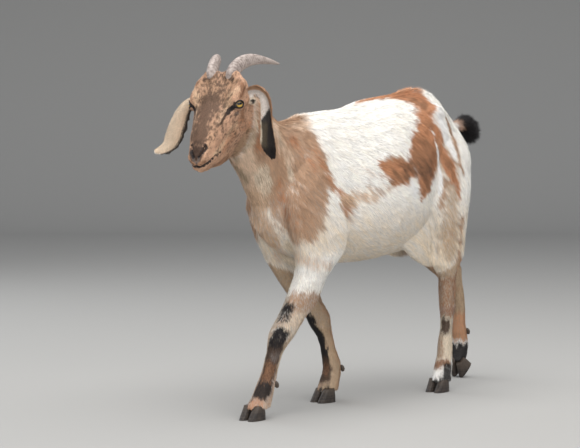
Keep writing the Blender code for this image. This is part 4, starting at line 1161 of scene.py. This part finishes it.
def skin_finish():
    maker, shader, made = material("skin under the coat", 0.72, 0.25)
    tone = maker.node("ShaderNodeAttribute", {"attribute_name": "tone"}, out="Color")
    place_on = maker.node("ShaderNodeTexCoord", out="Object")
    lying = {"Vector": place_on, "Rotation": (math.radians(-40), 0, 0), "Scale": (1, 0.22, 1)}
    tilted = maker.node("ShaderNodeMapping", None, lying)
    hairs = maker.node("ShaderNodeTexNoise", None, {"Vector": tilted, "Scale": 900.0, "Detail": 3.0})
    clumps = maker.node("ShaderNodeTexNoise", None, {"Vector": tilted, "Scale": 210.0, "Detail": 2.0})
    into(maker, shader, Base_Color=maker.brightened(tone, 0.60 + hairs * 0.32 + clumps * 0.34))
    relief = {"Strength": 0.55, "Distance": 0.0009, "Height": hairs * 0.5 + clumps}
    into(maker, shader, Normal=maker.node("ShaderNodeBump", None, relief))
    return made


def coat_finish():
    maker, shader, made = material("coat", 0.66, 0.3)
    tone = maker.node("ShaderNodeAttribute", {"attribute_name": "tone"}, out="Color")
    shade = maker.node("ShaderNodeAttribute", {"attribute_name": "shade"}, out="Fac")
    along = maker.node("ShaderNodeAttribute", {"attribute_name": "along"}, out="Fac")
    into(maker, shader, Base_Color=maker.brightened(tone, (0.88 + 0.24 * shade) * (0.84 + 0.22 * along)))
    return made


SKIN_FINISH, COAT_FINISH = skin_finish(), coat_finish()
skin.data.materials.clear()
skin.data.materials.append(SKIN_FINISH)
skin.data.shade_smooth()
print("finishes:", SKIN_FINISH.name, "and", COAT_FINISH.name)

# %% [markdown]
# A tuft is a few hairs that lie together: a thin leaf, closed all round, with its root sunk in
# the skin and its tip a little raised.  Short hair needs only four corners, and flat faces keep
# it crisp.  The locks of the tail have two rings of three, so that they bend.

# %% Two tufts
def tuft_object(name, corners, faces):
    """A closed leaf along X from 0 to 1; its own map lies in the plane of X and Y."""
    bm = bmesh.new()
    made = [bm.verts.new(corner) for corner in corners]
    for face in faces:
        bm.faces.new([made[k] for k in face])
    bmesh.ops.triangulate(bm, faces=bm.faces)
    bmesh.ops.recalc_face_normals(bm, faces=bm.faces)
    mesh = bpy.data.meshes.new(name)
    bm.to_mesh(mesh)
    bm.free()
    xs = coords(mesh)
    keep(mesh, "along", "FLOAT", xs[:, 0])
    keep(mesh, "leaf", "FLOAT_VECTOR", np.column_stack([xs[:, 0] - 0.5, xs[:, 1], 0 * xs[:, 0]]))
    return as_object(name, mesh)


def leaf(name, rows, root, tip):
    """A leaf from a root, over rings of three, to a tip: rows of (x, half width, low, high)."""
    corners, faces = [root, tip], []
    for x, half, low, high in rows:
        corners += [(x, -half, low), (x, 0, high), (x, half, low)]
    last = len(corners) - 3
    for k in range(3):
        n = (k + 1) % 3
        faces += [(0, 2 + n, 2 + k), (1, last + k, last + n)]
        faces += [(a + k, a + 3 + k, a + 3 + n, a + n) for a in range(2, last, 3)]
    return tuft_object(name, corners, faces)


SHORT_TUFT = tuft_object(
    "short tuft",
    [(0, 0, -0.40), (0.42, -0.5, 0.16), (0.42, 0.5, 0.16), (1, 0, 0.10)],
    [(0, 1, 2), (3, 2, 1), (0, 3, 1), (0, 2, 3)],
)
LOCK = leaf("lock", [(0.22, 0.42, 0.0, 0.45), (0.62, 0.45, 0.55, 0.90)], (0, 0, -0.5), (1, 0, 0.25))
for tuft in (SHORT_TUFT, LOCK):
    print(tuft.name, len(tuft.data.polygons), "triangles")

# %% [markdown]
# Geometry Nodes plant the tufts.  Points are scattered over the skin, each is turned so that
# its Z stands on the skin and its X follows the lie, and a tuft is set there.  The place of the
# root is stored before the tufts are realized, because their UV map is worked out from it.

# %% Planting the tufts
def planting_tree():
    tree = bpy.data.node_groups.new("planted tufts", "GeometryNodeTree")
    face = tree.interface
    face.new_socket("Skin", in_out="INPUT", socket_type="NodeSocketGeometry")
    for name, kind in (
        ("Tuft", "NodeSocketObject"),
        ("Tufts per square metre", "NodeSocketFloat"),
        ("Length", "NodeSocketFloat"),
        ("Lift", "NodeSocketFloat"),
        ("Seed", "NodeSocketInt"),
        ("Finish", "NodeSocketMaterial"),
    ):
        face.new_socket(name, in_out="INPUT", socket_type=kind)
    face.new_socket("Coat", in_out="OUTPUT", socket_type="NodeSocketGeometry")
    maker = Maker(tree)
    group = tree.nodes.new("NodeGroupInput")
    given = {socket.name: Wire(maker, socket) for socket in group.outputs if socket.name}

    def stored(name, kind="FLOAT"):
        settings = {"data_type": kind}
        return maker.node("GeometryNodeInputNamedAttribute", settings, {"Name": name}, out="Attribute")

    def noted(points, name, kind, value):
        values = {"Geometry": points, "Name": name, "Value": value}
        return maker.node("GeometryNodeStoreNamedAttribute", {"data_type": kind}, values)

    def random(low, high, seed):
        values = {"Min": low, "Max": high, "Seed": seed}
        return maker.node("FunctionNodeRandomValue", {"data_type": "FLOAT"}, values)

    scatter = maker.tree.nodes.new("GeometryNodeDistributePointsOnFaces")
    scatter.distribute_method = "RANDOM"
    tree.links.new(given["Skin"].socket, scatter.inputs["Mesh"])
    density = given["Tufts per square metre"] * stored("hair_share")
    tree.links.new(density.socket, scatter.inputs["Density"])
    tree.links.new(given["Seed"].socket, scatter.inputs["Seed"])
    points = Wire(maker, scatter.outputs["Points"])
    outward = Wire(maker, scatter.outputs["Normal"])

    points = noted(points, "root", "FLOAT_VECTOR", maker.node("GeometryNodeInputPosition"))
    points = noted(points, "shade", "FLOAT", random(0.0, 1.0, 7))
    standing = maker.node(
        "FunctionNodeAxesToRotation",
        {"primary_axis": "Z", "secondary_axis": "X"},
        {"Primary Axis": outward, "Secondary Axis": stored("lie", "FLOAT_VECTOR")},
    )
    swing = random(-0.11, 0.11, 11)
    rise = given["Lift"] * stored("hair_rise") * random(0.4, 1.6, 12)
    angles = maker.node("ShaderNodeCombineXYZ", None, {"X": 0.0, "Y": 0 - rise, "Z": swing})
    turned = maker.node("FunctionNodeEulerToRotation", None, {0: angles})
    turned = maker.node(
        "FunctionNodeRotateRotation",
        {"rotation_space": "LOCAL"},
        {"Rotation": standing, "Rotate By": turned},
    )
    long = given["Length"] * stored("hair_length") * random(0.72, 1.2, 13)
    wide = stored("hair_width") * random(0.75, 1.25, 14)
    size = maker.node("ShaderNodeCombineXYZ", None, {"X": long, "Y": wide, "Z": wide})
    unmoved = {"transform_space": "ORIGINAL"}
    tuft = maker.node("GeometryNodeObjectInfo", unmoved, {"Object": given["Tuft"]}, out="Geometry")
    planting = {"Points": points, "Instance": tuft, "Rotation": turned, "Scale": size}
    grown = maker.node("GeometryNodeInstanceOnPoints", None, planting)
    grown = maker.node("GeometryNodeRealizeInstances", None, {"Geometry": grown})
    for name in ("lie", "hair_length", "hair_width", "hair_rise", "hair_share"):
        grown = maker.node("GeometryNodeRemoveAttribute", None, {"Geometry": grown, "Name": name})
    grown = maker.node("GeometryNodeSetMaterial", None, {"Geometry": grown, "Material": given["Finish"]})
    output = tree.nodes.new("NodeGroupOutput")
    tree.links.new(grown.socket, output.inputs[0])
    return tree


PLANTING = planting_tree()


def planted(name, field, tuft, density, length, lift, seed):
    """Tufts on a piece of skin, as a plain mesh; the field itself isn't kept."""
    made = as_object(name, field)
    grow = made.modifiers.new("coat", "NODES")
    grow.node_group = PLANTING
    wanted = {
        "Tuft": tuft,
        "Tufts per square metre": float(density),
        "Length": float(length),
        "Lift": float(lift),
        "Seed": seed,
        "Finish": COAT_FINISH,
    }
    for socket in PLANTING.interface.items_tree:
        if socket.item_type == "SOCKET" and socket.name in wanted:
            grow[socket.identifier] = wanted[socket.name]
    return baked(made)

# %% [markdown]
# The coat is grown in fields, one for each part of the body, so that no piece gets too many
# triangles.  The trunk is cut into quarters.  Each field is a copy of that part of the skin,
# and every tuft gets a patch of a UV map at its root's place on an unrolled field.

# %% Fields of coat
def field_mesh(name, mesh, faces_kept):
    """A copy of the skin with only those faces."""
    bm = bmesh.new()
    bm.from_mesh(mesh)
    bm.faces.ensure_lookup_table()
    bmesh.ops.delete(bm, geom=[bm.faces[k] for k in np.flatnonzero(~faces_kept)], context="FACES")
    made = bpy.data.meshes.new(name)
    bm.to_mesh(made)
    bm.free()
    return made


def triangle_corners(mesh):
    flat = np.empty(len(mesh.polygons) * 3, np.int32)
    mesh.polygons.foreach_get("vertices", flat)
    return flat.reshape(-1, 3)


corners = triangle_corners(skin.data)
face_middle = skin_points[corners].mean(1)
face_part = np.argmax(shares[corners].sum(1), 1)
PARTED_AT = -0.1  # how far ahead of the goat's middle the coat of the trunk is parted


def belongs(parts):
    return np.isin(face_part, [PARTS.index(part) for part in parts])


trunk_faces = belongs(["trunk"])
ahead_half, left_half = -face_middle[:, 1] > PARTED_AT, face_middle[:, 0] > 0
on_left_of_head = in_head(face_middle)[1] > 0
FIELDS = {  # the faces, the tuft, and the way of the axis that the field is unrolled about
    "coat_shoulder_left": (trunk_faces & ahead_half & left_half, SHORT_TUFT, AHEAD),
    "coat_shoulder_right": (trunk_faces & ahead_half & ~left_half, SHORT_TUFT, AHEAD),
    "coat_flank_left": (trunk_faces & ~ahead_half & left_half, SHORT_TUFT, AHEAD),
    "coat_flank_right": (trunk_faces & ~ahead_half & ~left_half, SHORT_TUFT, AHEAD),
    "coat_neck": (belongs(["neck"]), SHORT_TUFT, unit(at(0, 0.6, 0.8))),
    "coat_head_left": (belongs(["head"]) & on_left_of_head, SHORT_TUFT, FACE),
    "coat_head_right": (belongs(["head"]) & ~on_left_of_head, SHORT_TUFT, FACE),
    "coat_tail": (belongs(["tail"]), LOCK, unit(at(0, -0.8, 0.6))),
}
for label in SIDES:
    FIELDS[f"coat_ear_{label}"] = (belongs([f"ear_{label}"]), SHORT_TUFT, -UP)
    for limb in ("fore", "hind"):
        parts = [f"{limb}_leg_{label}", f"{limb}_shank_{label}"]
        FIELDS[f"coat_{limb}_{label}"] = (belongs(parts), SHORT_TUFT, UP)
TUFT_BUDGET = 332000  # tufts in all, shared out as the counts in HAIR say
PATCH = 0.003  # how wide a tuft's patch of the map is

first, second, third = skin_points[corners].transpose(1, 0, 2)
skin_areas = np.linalg.norm(np.cross(second - first, third - first), axis=1) / 2
face_count = shares[corners].mean(1) @ np.array([hair.count for hair in HAIR_OF]) * 1e4
wanted_tufts = float((skin_areas * face_count).sum())
print("tufts at full density:", round(wanted_tufts), "and planted:", TUFT_BUDGET)


def unrolled(places, axis):
    """UV places of points that are rolled out about an axis through their middle, from 0 to 1."""
    centre = (places.min(0) + places.max(0)) / 2
    side = unit(np.cross(axis, LEFT if abs(axis @ LEFT) < 0.9 else UP))
    other = np.cross(axis, side)
    away = places - centre
    turn = np.arctan2(away @ other, away @ side)
    along = away @ axis
    flat = np.column_stack([turn, along])
    low, high = flat.min(0), flat.max(0)
    return 0.01 + 0.98 * (flat - low) / (high - low)


def vectors(mesh, name):
    """A vector attribute as an array."""
    data = mesh.attributes[name].data
    flat = np.empty(len(data) * 3, np.float32)
    data.foreach_get("vector", flat)
    return flat.reshape(-1, 3)


def patched(mesh, axis):
    """Writes the OFBake map of a piece of coat, then drops what only the map needed."""
    root, leaf_place = vectors(mesh, "root").astype(float), vectors(mesh, "leaf")
    flat = unrolled(root, axis) + PATCH * leaf_place[:, :2]
    ends = np.empty(len(mesh.loops), np.int32)
    mesh.loops.foreach_get("vertex_index", ends)
    while mesh.uv_layers:
        mesh.uv_layers.remove(mesh.uv_layers[0])
    layer = mesh.uv_layers.new(name="OFBake")
    layer.uv.foreach_set("vector", flat[ends].astype(np.float32).ravel())
    for name in ("root", "leaf"):
        mesh.attributes.remove(mesh.attributes[name])


def tufts_toned(mesh, corners_each, seed):
    """Gives every tuft one colour, that of the coat at its root."""
    roots = vectors(mesh, "root").astype(float)[::corners_each]
    near = np.array([SKIN_TREE.find(root)[1] for root in roots.tolist()])
    chance = np.random.default_rng(seed).uniform(-1, 1, len(roots))
    each = tone_of(roots, skin_out[near], shares[near], chance)
    colour = np.column_stack([each, np.ones(len(each))]).repeat(corners_each, 0).astype(np.float32)
    mesh.attributes["tone"].data.foreach_set("color", colour.ravel())


SKIN_TREE = KDTree(len(skin_points))
for index, point in enumerate(skin_points.tolist()):
    SKIN_TREE.insert(point, index)
SKIN_TREE.balance()

COAT = {}
for seed, (name, (faces, tuft, axis)) in enumerate(FIELDS.items()):
    field = field_mesh(name, skin.data, faces)
    count = float((skin_areas[faces] * face_count[faces]).sum()) * TUFT_BUDGET / wanted_tufts
    density = count / float(skin_areas[faces].sum())
    COAT[name] = planted(name, field, tuft, density, 1.0, 1.0, seed + 1)
    tufts_toned(COAT[name].data, len(tuft.data.vertices), seed + 50)
    patched(COAT[name].data, axis)
    print(name, len(COAT[name].data.polygons), "triangles")
bpy.data.objects.remove(SHORT_TUFT)
bpy.data.objects.remove(LOCK)
print("coat:", sum(len(piece.data.polygons) for piece in COAT.values()), "triangles")

# %% [markdown]
# The eyeball is a ball whose clear front bulges a little.  A goat's pupil is a level slot, so
# that it sees the whole horizon, and the iris round it is amber with a dark rim.  The ball's
# mesh keeps, at each corner, how far it is toward the nose, up and out from the middle.

# %% Eyeballs
IRIS = 0.66  # radius of the iris, as a share of the eyeball's


def eyeball(label, around=72, rows=40):
    gaze = GAZE[label]
    bm = bmesh.new()
    bmesh.ops.create_uvsphere(bm, u_segments=around, v_segments=rows, radius=1)
    mesh = bpy.data.meshes.new(f"eyeball_{label}")
    bm.to_mesh(mesh)
    bm.free()
    local = coords(mesh)  # x toward the nose, y up, z out
    bulge = 1 + 0.055 * ramp(-np.hypot(local[:, 0], local[:, 1]), -IRIS, -0.2) * (local[:, 2] > 0)
    ways = np.stack([gaze.nose, gaze.up, gaze.out])
    place(mesh, gaze.centre + (local * bulge[:, None] * (EYE_RADIUS - 0.15 * MM)) @ ways)
    keep(mesh, "in_eye", "FLOAT_VECTOR", local)
    if np.linalg.det(ways) < 0:
        mesh.flip_normals()
    mesh.shade_smooth()
    return as_object(f"eyeball_{label}", mesh)


def eye_finish():
    maker, shader, made = material("wet eye", 0.12, 0.3, coat=0.35, coat_rough=0.03)
    inside = maker.node("ShaderNodeAttribute", {"attribute_name": "in_eye"}, out="Vector")
    x = maker.node("ShaderNodeSeparateXYZ", None, {"Vector": inside}, out=0)
    y = maker.node("ShaderNodeSeparateXYZ", None, {"Vector": inside}, out=1)

    def pair(first, second):
        return maker.node("ShaderNodeCombineXYZ", None, {"X": first, "Y": second, "Z": 0.0})

    def length(first, second):
        settings, values = {"operation": "LENGTH"}, {"Vector": pair(first, second)}
        return maker.node("ShaderNodeVectorMath", settings, values, out="Value")

    radius = length(x, y)
    turned = maker.node("ShaderNodeMath", {"operation": "ARCTAN2"}, {0: y, 1: x})
    spokes = {"Vector": pair(turned * 9, radius * 3), "Scale": 1.0, "Detail": 3.0}
    rays = maker.node("ShaderNodeTexNoise", {"noise_dimensions": "2D"}, spokes)
    iris = maker.mixed(rays, (0.62, 0.30, 0.035, 1), (0.95, 0.66, 0.14, 1))
    # the iris is darkened toward its top: painted shadow of the upper lid
    iris = maker.brightened(iris, 0.66 - maker.ramped(y, -0.15, 0.20) * 0.50)
    rim = maker.ramped(radius, IRIS * 0.66, IRIS * 0.96)
    iris = maker.mixed(rim, iris, (0.02, 0.012, 0.006, 1))
    white = maker.ramped(radius, IRIS * 1.15, IRIS * 1.3)
    iris = maker.mixed(white, iris, (0.16, 0.11, 0.085, 1))
    wide, tall = abs(x) - 0.27, abs(y - 0.07)
    slot_end = maker.node("ShaderNodeMath", {"operation": "MAXIMUM"}, {0: wide, 1: 0.0})
    pupil = 1 - maker.ramped(length(slot_end, tall), 0.180, 0.220)
    into(maker, shader, Base_Color=maker.mixed(pupil, iris, (0.004, 0.004, 0.005, 1)))
    return made


EYE_FINISH = eye_finish()
EYEBALLS = {label: eyeball(label) for label in SIDES}
for piece in EYEBALLS.values():
    piece.data.materials.append(EYE_FINISH)
    print(piece.name, len(piece.data.polygons), "faces")

# %% [markdown]
# The lids are black and moist at the rim and take the tone of the coat further out.  Their tone
# therefore comes from how far each corner is from the rim.

# %% The lids' finish
def lids_toned(label):
    mesh = LIDS[label].data
    points = coords(mesh)
    reach, share, turn = eye_angles(points, GAZE[label])
    tree = BVHTree.FromPolygons([v.co[:] for v in skin.data.vertices], corners.tolist())
    faces = [tree.find_nearest(p)[2] for p in points.tolist()]
    lid_tone = toward(tone[corners[faces]].mean(1), "black", 1 - ramp(share, 1.30, 1.62))
    keep(mesh, "tone", "FLOAT_COLOR", np.column_stack([lid_tone, np.ones(len(lid_tone))]))
    mesh.shade_smooth()
    mesh.materials.append(SKIN_FINISH)


for label in SIDES:
    lids_toned(label)
    print(LIDS[label].name, len(LIDS[label].data.polygons), "faces")

# %% [markdown]
# Horns and hooves are the same stuff, a hard skin that grows from its root, so both show rings.
# A copy of each solid is welded again so finely that it can carry them: the rings follow the
# distance from the root, and fine streaks run along the growth.

# %% Horns, hooves and dewclaws
def rounded(node, voxel, passes):
    """A fine smooth copy of a solid."""
    bm = bmesh.new()
    bm.from_mesh(SOLIDS[node].data)
    bmesh.ops.remove_doubles(bm, verts=bm.verts, dist=1e-5)
    mesh = bpy.data.meshes.new(node)
    bm.to_mesh(mesh)
    bm.free()
    made = as_object(f"{node}_grown", mesh)
    weld = made.modifiers.new("weld", "REMESH")
    weld.mode = "VOXEL"
    weld.voxel_size = voxel
    baked(made)
    place(made.data, blurred(made.data, coords(made.data), passes, (0.5, -0.52)))
    made.data.shade_smooth()
    return made


RING = 6.2 * MM  # from one strong ring of a horn to the next
FINE_RING = 2.3 * MM


def ringed_horn(label):
    made = rounded(f"horn_{label}", 1.3 * MM, 14)
    points, out = coords(made.data), normals(made.data)
    grown = np.linalg.norm(points - HORN_ROOT[label], axis=1)
    wobble = 0.0012 * noise(points, 0.012, 31) + 0.0005 * noise(points, 0.004, 32)
    turn = (grown + wobble) * 2 * math.pi
    rings = np.sin(turn / RING) + 0.5 * np.sin(turn / FINE_RING)
    fading = 1 - 0.75 * ramp(grown, 0.05, 0.13)
    lift = rings * 0.10 * MM * fading + 0.06 * MM * noise(points, 0.006, 33)
    place(made.data, points + out * lift[:, None])
    keep(made.data, "grown", "FLOAT", grown)
    return made


def hoof_grown(node):
    made = rounded(node, 0.75 * MM, 3)
    points, out = coords(made.data), normals(made.data)
    sides = 1 - ramp(np.abs(out[:, 2]), 0.6, 0.9)
    rings = np.sin((points[:, 2] + 0.0006 * noise(points, 0.009, 41)) * 2 * math.pi / 0.0042)
    place(made.data, points + out * (rings * 0.14 * MM * sides)[:, None])
    keep(made.data, "grown", "FLOAT", points[:, 2])
    return made


def horn_finish(name, dark, pale, tip, tip_at, streak_scale, rough):
    maker, shader, made = material(name, rough, 0.4)
    grown = maker.node("ShaderNodeAttribute", {"attribute_name": "grown"}, out="Fac")
    place_on = maker.node("ShaderNodeTexCoord", out="Object")
    spots = maker.node("ShaderNodeTexNoise", None, {"Vector": place_on, "Scale": 110.0, "Detail": 4.0})
    drawn_out = maker.node("ShaderNodeMapping", None, {"Vector": place_on, "Scale": streak_scale})
    fibres = maker.node("ShaderNodeTexNoise", None, {"Vector": drawn_out, "Scale": 420.0, "Detail": 3.0})
    turn = (grown + spots * 0.002) * (2 * math.pi / RING)
    rings = maker.node("ShaderNodeMath", {"operation": "SINE"}, {0: turn})
    blend = maker.ramped(spots * 0.75 + fibres * 0.45 + rings * 0.06, 0.42, 0.78)
    colour = maker.mixed(blend, dark, pale)
    colour = maker.mixed(maker.ramped(grown, *tip_at), colour, tip)
    into(maker, shader, Base_Color=colour)
    relief = {"Strength": 0.35, "Distance": 0.0006, "Height": fibres + spots * 0.6 + rings * 0.2}
    bump = maker.node("ShaderNodeBump", None, relief)
    into(maker, shader, Normal=bump, Roughness=rough - 0.08 + fibres * 0.2)
    return made


HORN_FINISH = horn_finish(
    "horn",
    dark=(0.20, 0.160, 0.142, 1),
    pale=(0.42, 0.355, 0.325, 1),
    tip=(0.33, 0.275, 0.245, 1),
    tip_at=(0.09, 0.16),
    streak_scale=(1, 0.3, 1),
    rough=0.46,
)
HOOF_FINISH = horn_finish(
    "hoof",
    dark=(0.016, 0.013, 0.012, 1),
    pale=(0.055, 0.042, 0.034, 1),
    tip=(0.07, 0.052, 0.040, 1),
    tip_at=(0.012, 0.034),
    streak_scale=(1, 1, 0.25),
    rough=0.5,
)
HORNS = {label: ringed_horn(label) for label in SIDES}
HOOVES = {node: hoof_grown(node) for node in SOLIDS if "hoof" in node or "dewclaw" in node}
for piece in HORNS.values():
    piece.data.materials.append(HORN_FINISH)
for piece in HOOVES.values():
    piece.data.materials.append(HOOF_FINISH)
print("horns and hooves:", sum(len(p.data.polygons) for p in [*HORNS.values(), *HOOVES.values()]), "faces")

# %% [markdown]
# The studio is a pale floor that curves up into a wall, so that no line crosses the picture.
# Broad lamps stand in for an overcast sky: most light comes from above and from ahead of the
# goat, and a weak lamp fills the far side.  The wall stands well back, so that it doesn't come
# between the goat and someone who looks from behind.

# %% Floor and wall
CAMERA_AT = Vector((2.918, -3.0918, 0.665))
CAMERA_LENS = 114.2
CAMERA_DROP = 3.39  # degrees below level
CAMERA_TURN = 45.0  # degrees from +Y toward -X


def sweep(radius=1.6, reach=9.0, wide=9.0, back_to=6.0, steps=24):
    """A floor that bends up into a wall, far enough back to leave room to walk round the goat."""
    turn = math.radians(CAMERA_TURN)
    away, across = Vector((-math.sin(turn), math.cos(turn), 0)), Vector((math.cos(turn), math.sin(turn), 0))
    profile = [(-reach, 0.0), (back_to, 0.0)]
    for k in range(1, steps + 1):
        bend = math.radians(90 * k / steps)
        profile.append((back_to + radius * math.sin(bend), radius * (1 - math.cos(bend))))
    profile.append((back_to + radius, 6.0))
    bm = bmesh.new()
    lines = []
    for side in (-wide, wide):
        lines.append([bm.verts.new(away * back + across * side + Vector((0, 0, up))) for back, up in profile])
    for a, b in zip(range(len(profile)), range(1, len(profile))):
        bm.faces.new((lines[0][a], lines[1][a], lines[1][b], lines[0][b]))
    bmesh.ops.recalc_face_normals(bm, faces=bm.faces)
    mesh = bpy.data.meshes.new("studio floor")
    bm.to_mesh(mesh)
    bm.free()
    mesh.shade_smooth()
    return as_object("studio floor", mesh)


floor = sweep()
maker, shader, floor_finish = material("pale floor", 0.9, 0.2)
shader.inputs["Base Color"].default_value = (0.36, 0.356, 0.348, 1)
floor.data.materials.append(floor_finish)
print("floor and wall:", len(floor.data.polygons), "faces")

# %% [markdown]
# Four round lamps and a pale sky light the goat.  The camera stands level with the withers and
# looks down a little, and the plain view transform keeps the tones as they were mixed.

# %% Lights and camera
def lamp(name, place_at, size, power, colour=(1, 1, 1)):
    light = bpy.data.lights.new(name, "AREA")
    light.shape = "DISK"
    light.size = size
    light.energy = power
    light.color = colour
    made = as_object(name, light)
    made.location = place_at
    made.rotation_euler = (Vector((0, 0, 0.45)) - Vector(place_at)).to_track_quat("-Z", "Y").to_euler()
    return made


lamp("sky lamp", (0.6, -0.2, 3.8), 4.5, 200, (1.0, 0.985, 0.96))
lamp("side lamp", (3.4, -1.6, 1.4), 3.0, 44, (1.0, 0.97, 0.93))
lamp("front lamp", (1.4, -4.2, 1.3), 3.0, 44, (1.0, 0.97, 0.93))
lamp("fill lamp", (-3.2, -0.4, 1.6), 2.5, 24, (0.95, 0.98, 1.0))
world = bpy.data.worlds.new("studio")
bpy.context.scene.world = world
world.use_nodes = True
world.node_tree.nodes["Background"].inputs["Color"].default_value = (0.93, 0.96, 1.0, 1)
world.node_tree.nodes["Background"].inputs["Strength"].default_value = 0.52

camera_data = bpy.data.cameras.new("camera")
camera_data.lens = CAMERA_LENS
camera_data.sensor_width = 36
camera_data.clip_end = 50
camera = as_object("camera", camera_data)
camera.location = CAMERA_AT
camera.rotation_euler = (math.radians(90 - CAMERA_DROP), 0, math.radians(CAMERA_TURN))
bpy.context.scene.camera = camera
bpy.context.scene.view_settings.view_transform = "Standard"
print("camera at", tuple(round(v, 3) for v in CAMERA_AT))

# %% [markdown]
# Last, every piece is said to belong to the goat's one body, and the solids that it replaces are hidden.

# %% The body, and the solids hidden
SLOT_OF = dict.fromkeys(("head", "neck", "ear", "fore"), "coat_tan") | {"tail": "coat_black"}
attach(skin, "root")
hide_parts(*PARTS)
for name, piece in COAT.items():
    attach(piece, "root")
for label in SIDES:
    for piece, node, slot in (
        (EYEBALLS[label], f"eye_{label}", "eye"),
        (HORNS[label], f"horn_{label}", "horn"),
        (LIDS[label], None, "coat_black"),
    ):
        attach(piece, "root")
        if node:
            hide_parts(node)
for node, piece in HOOVES.items():
    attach(piece, "root")
    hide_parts(node)
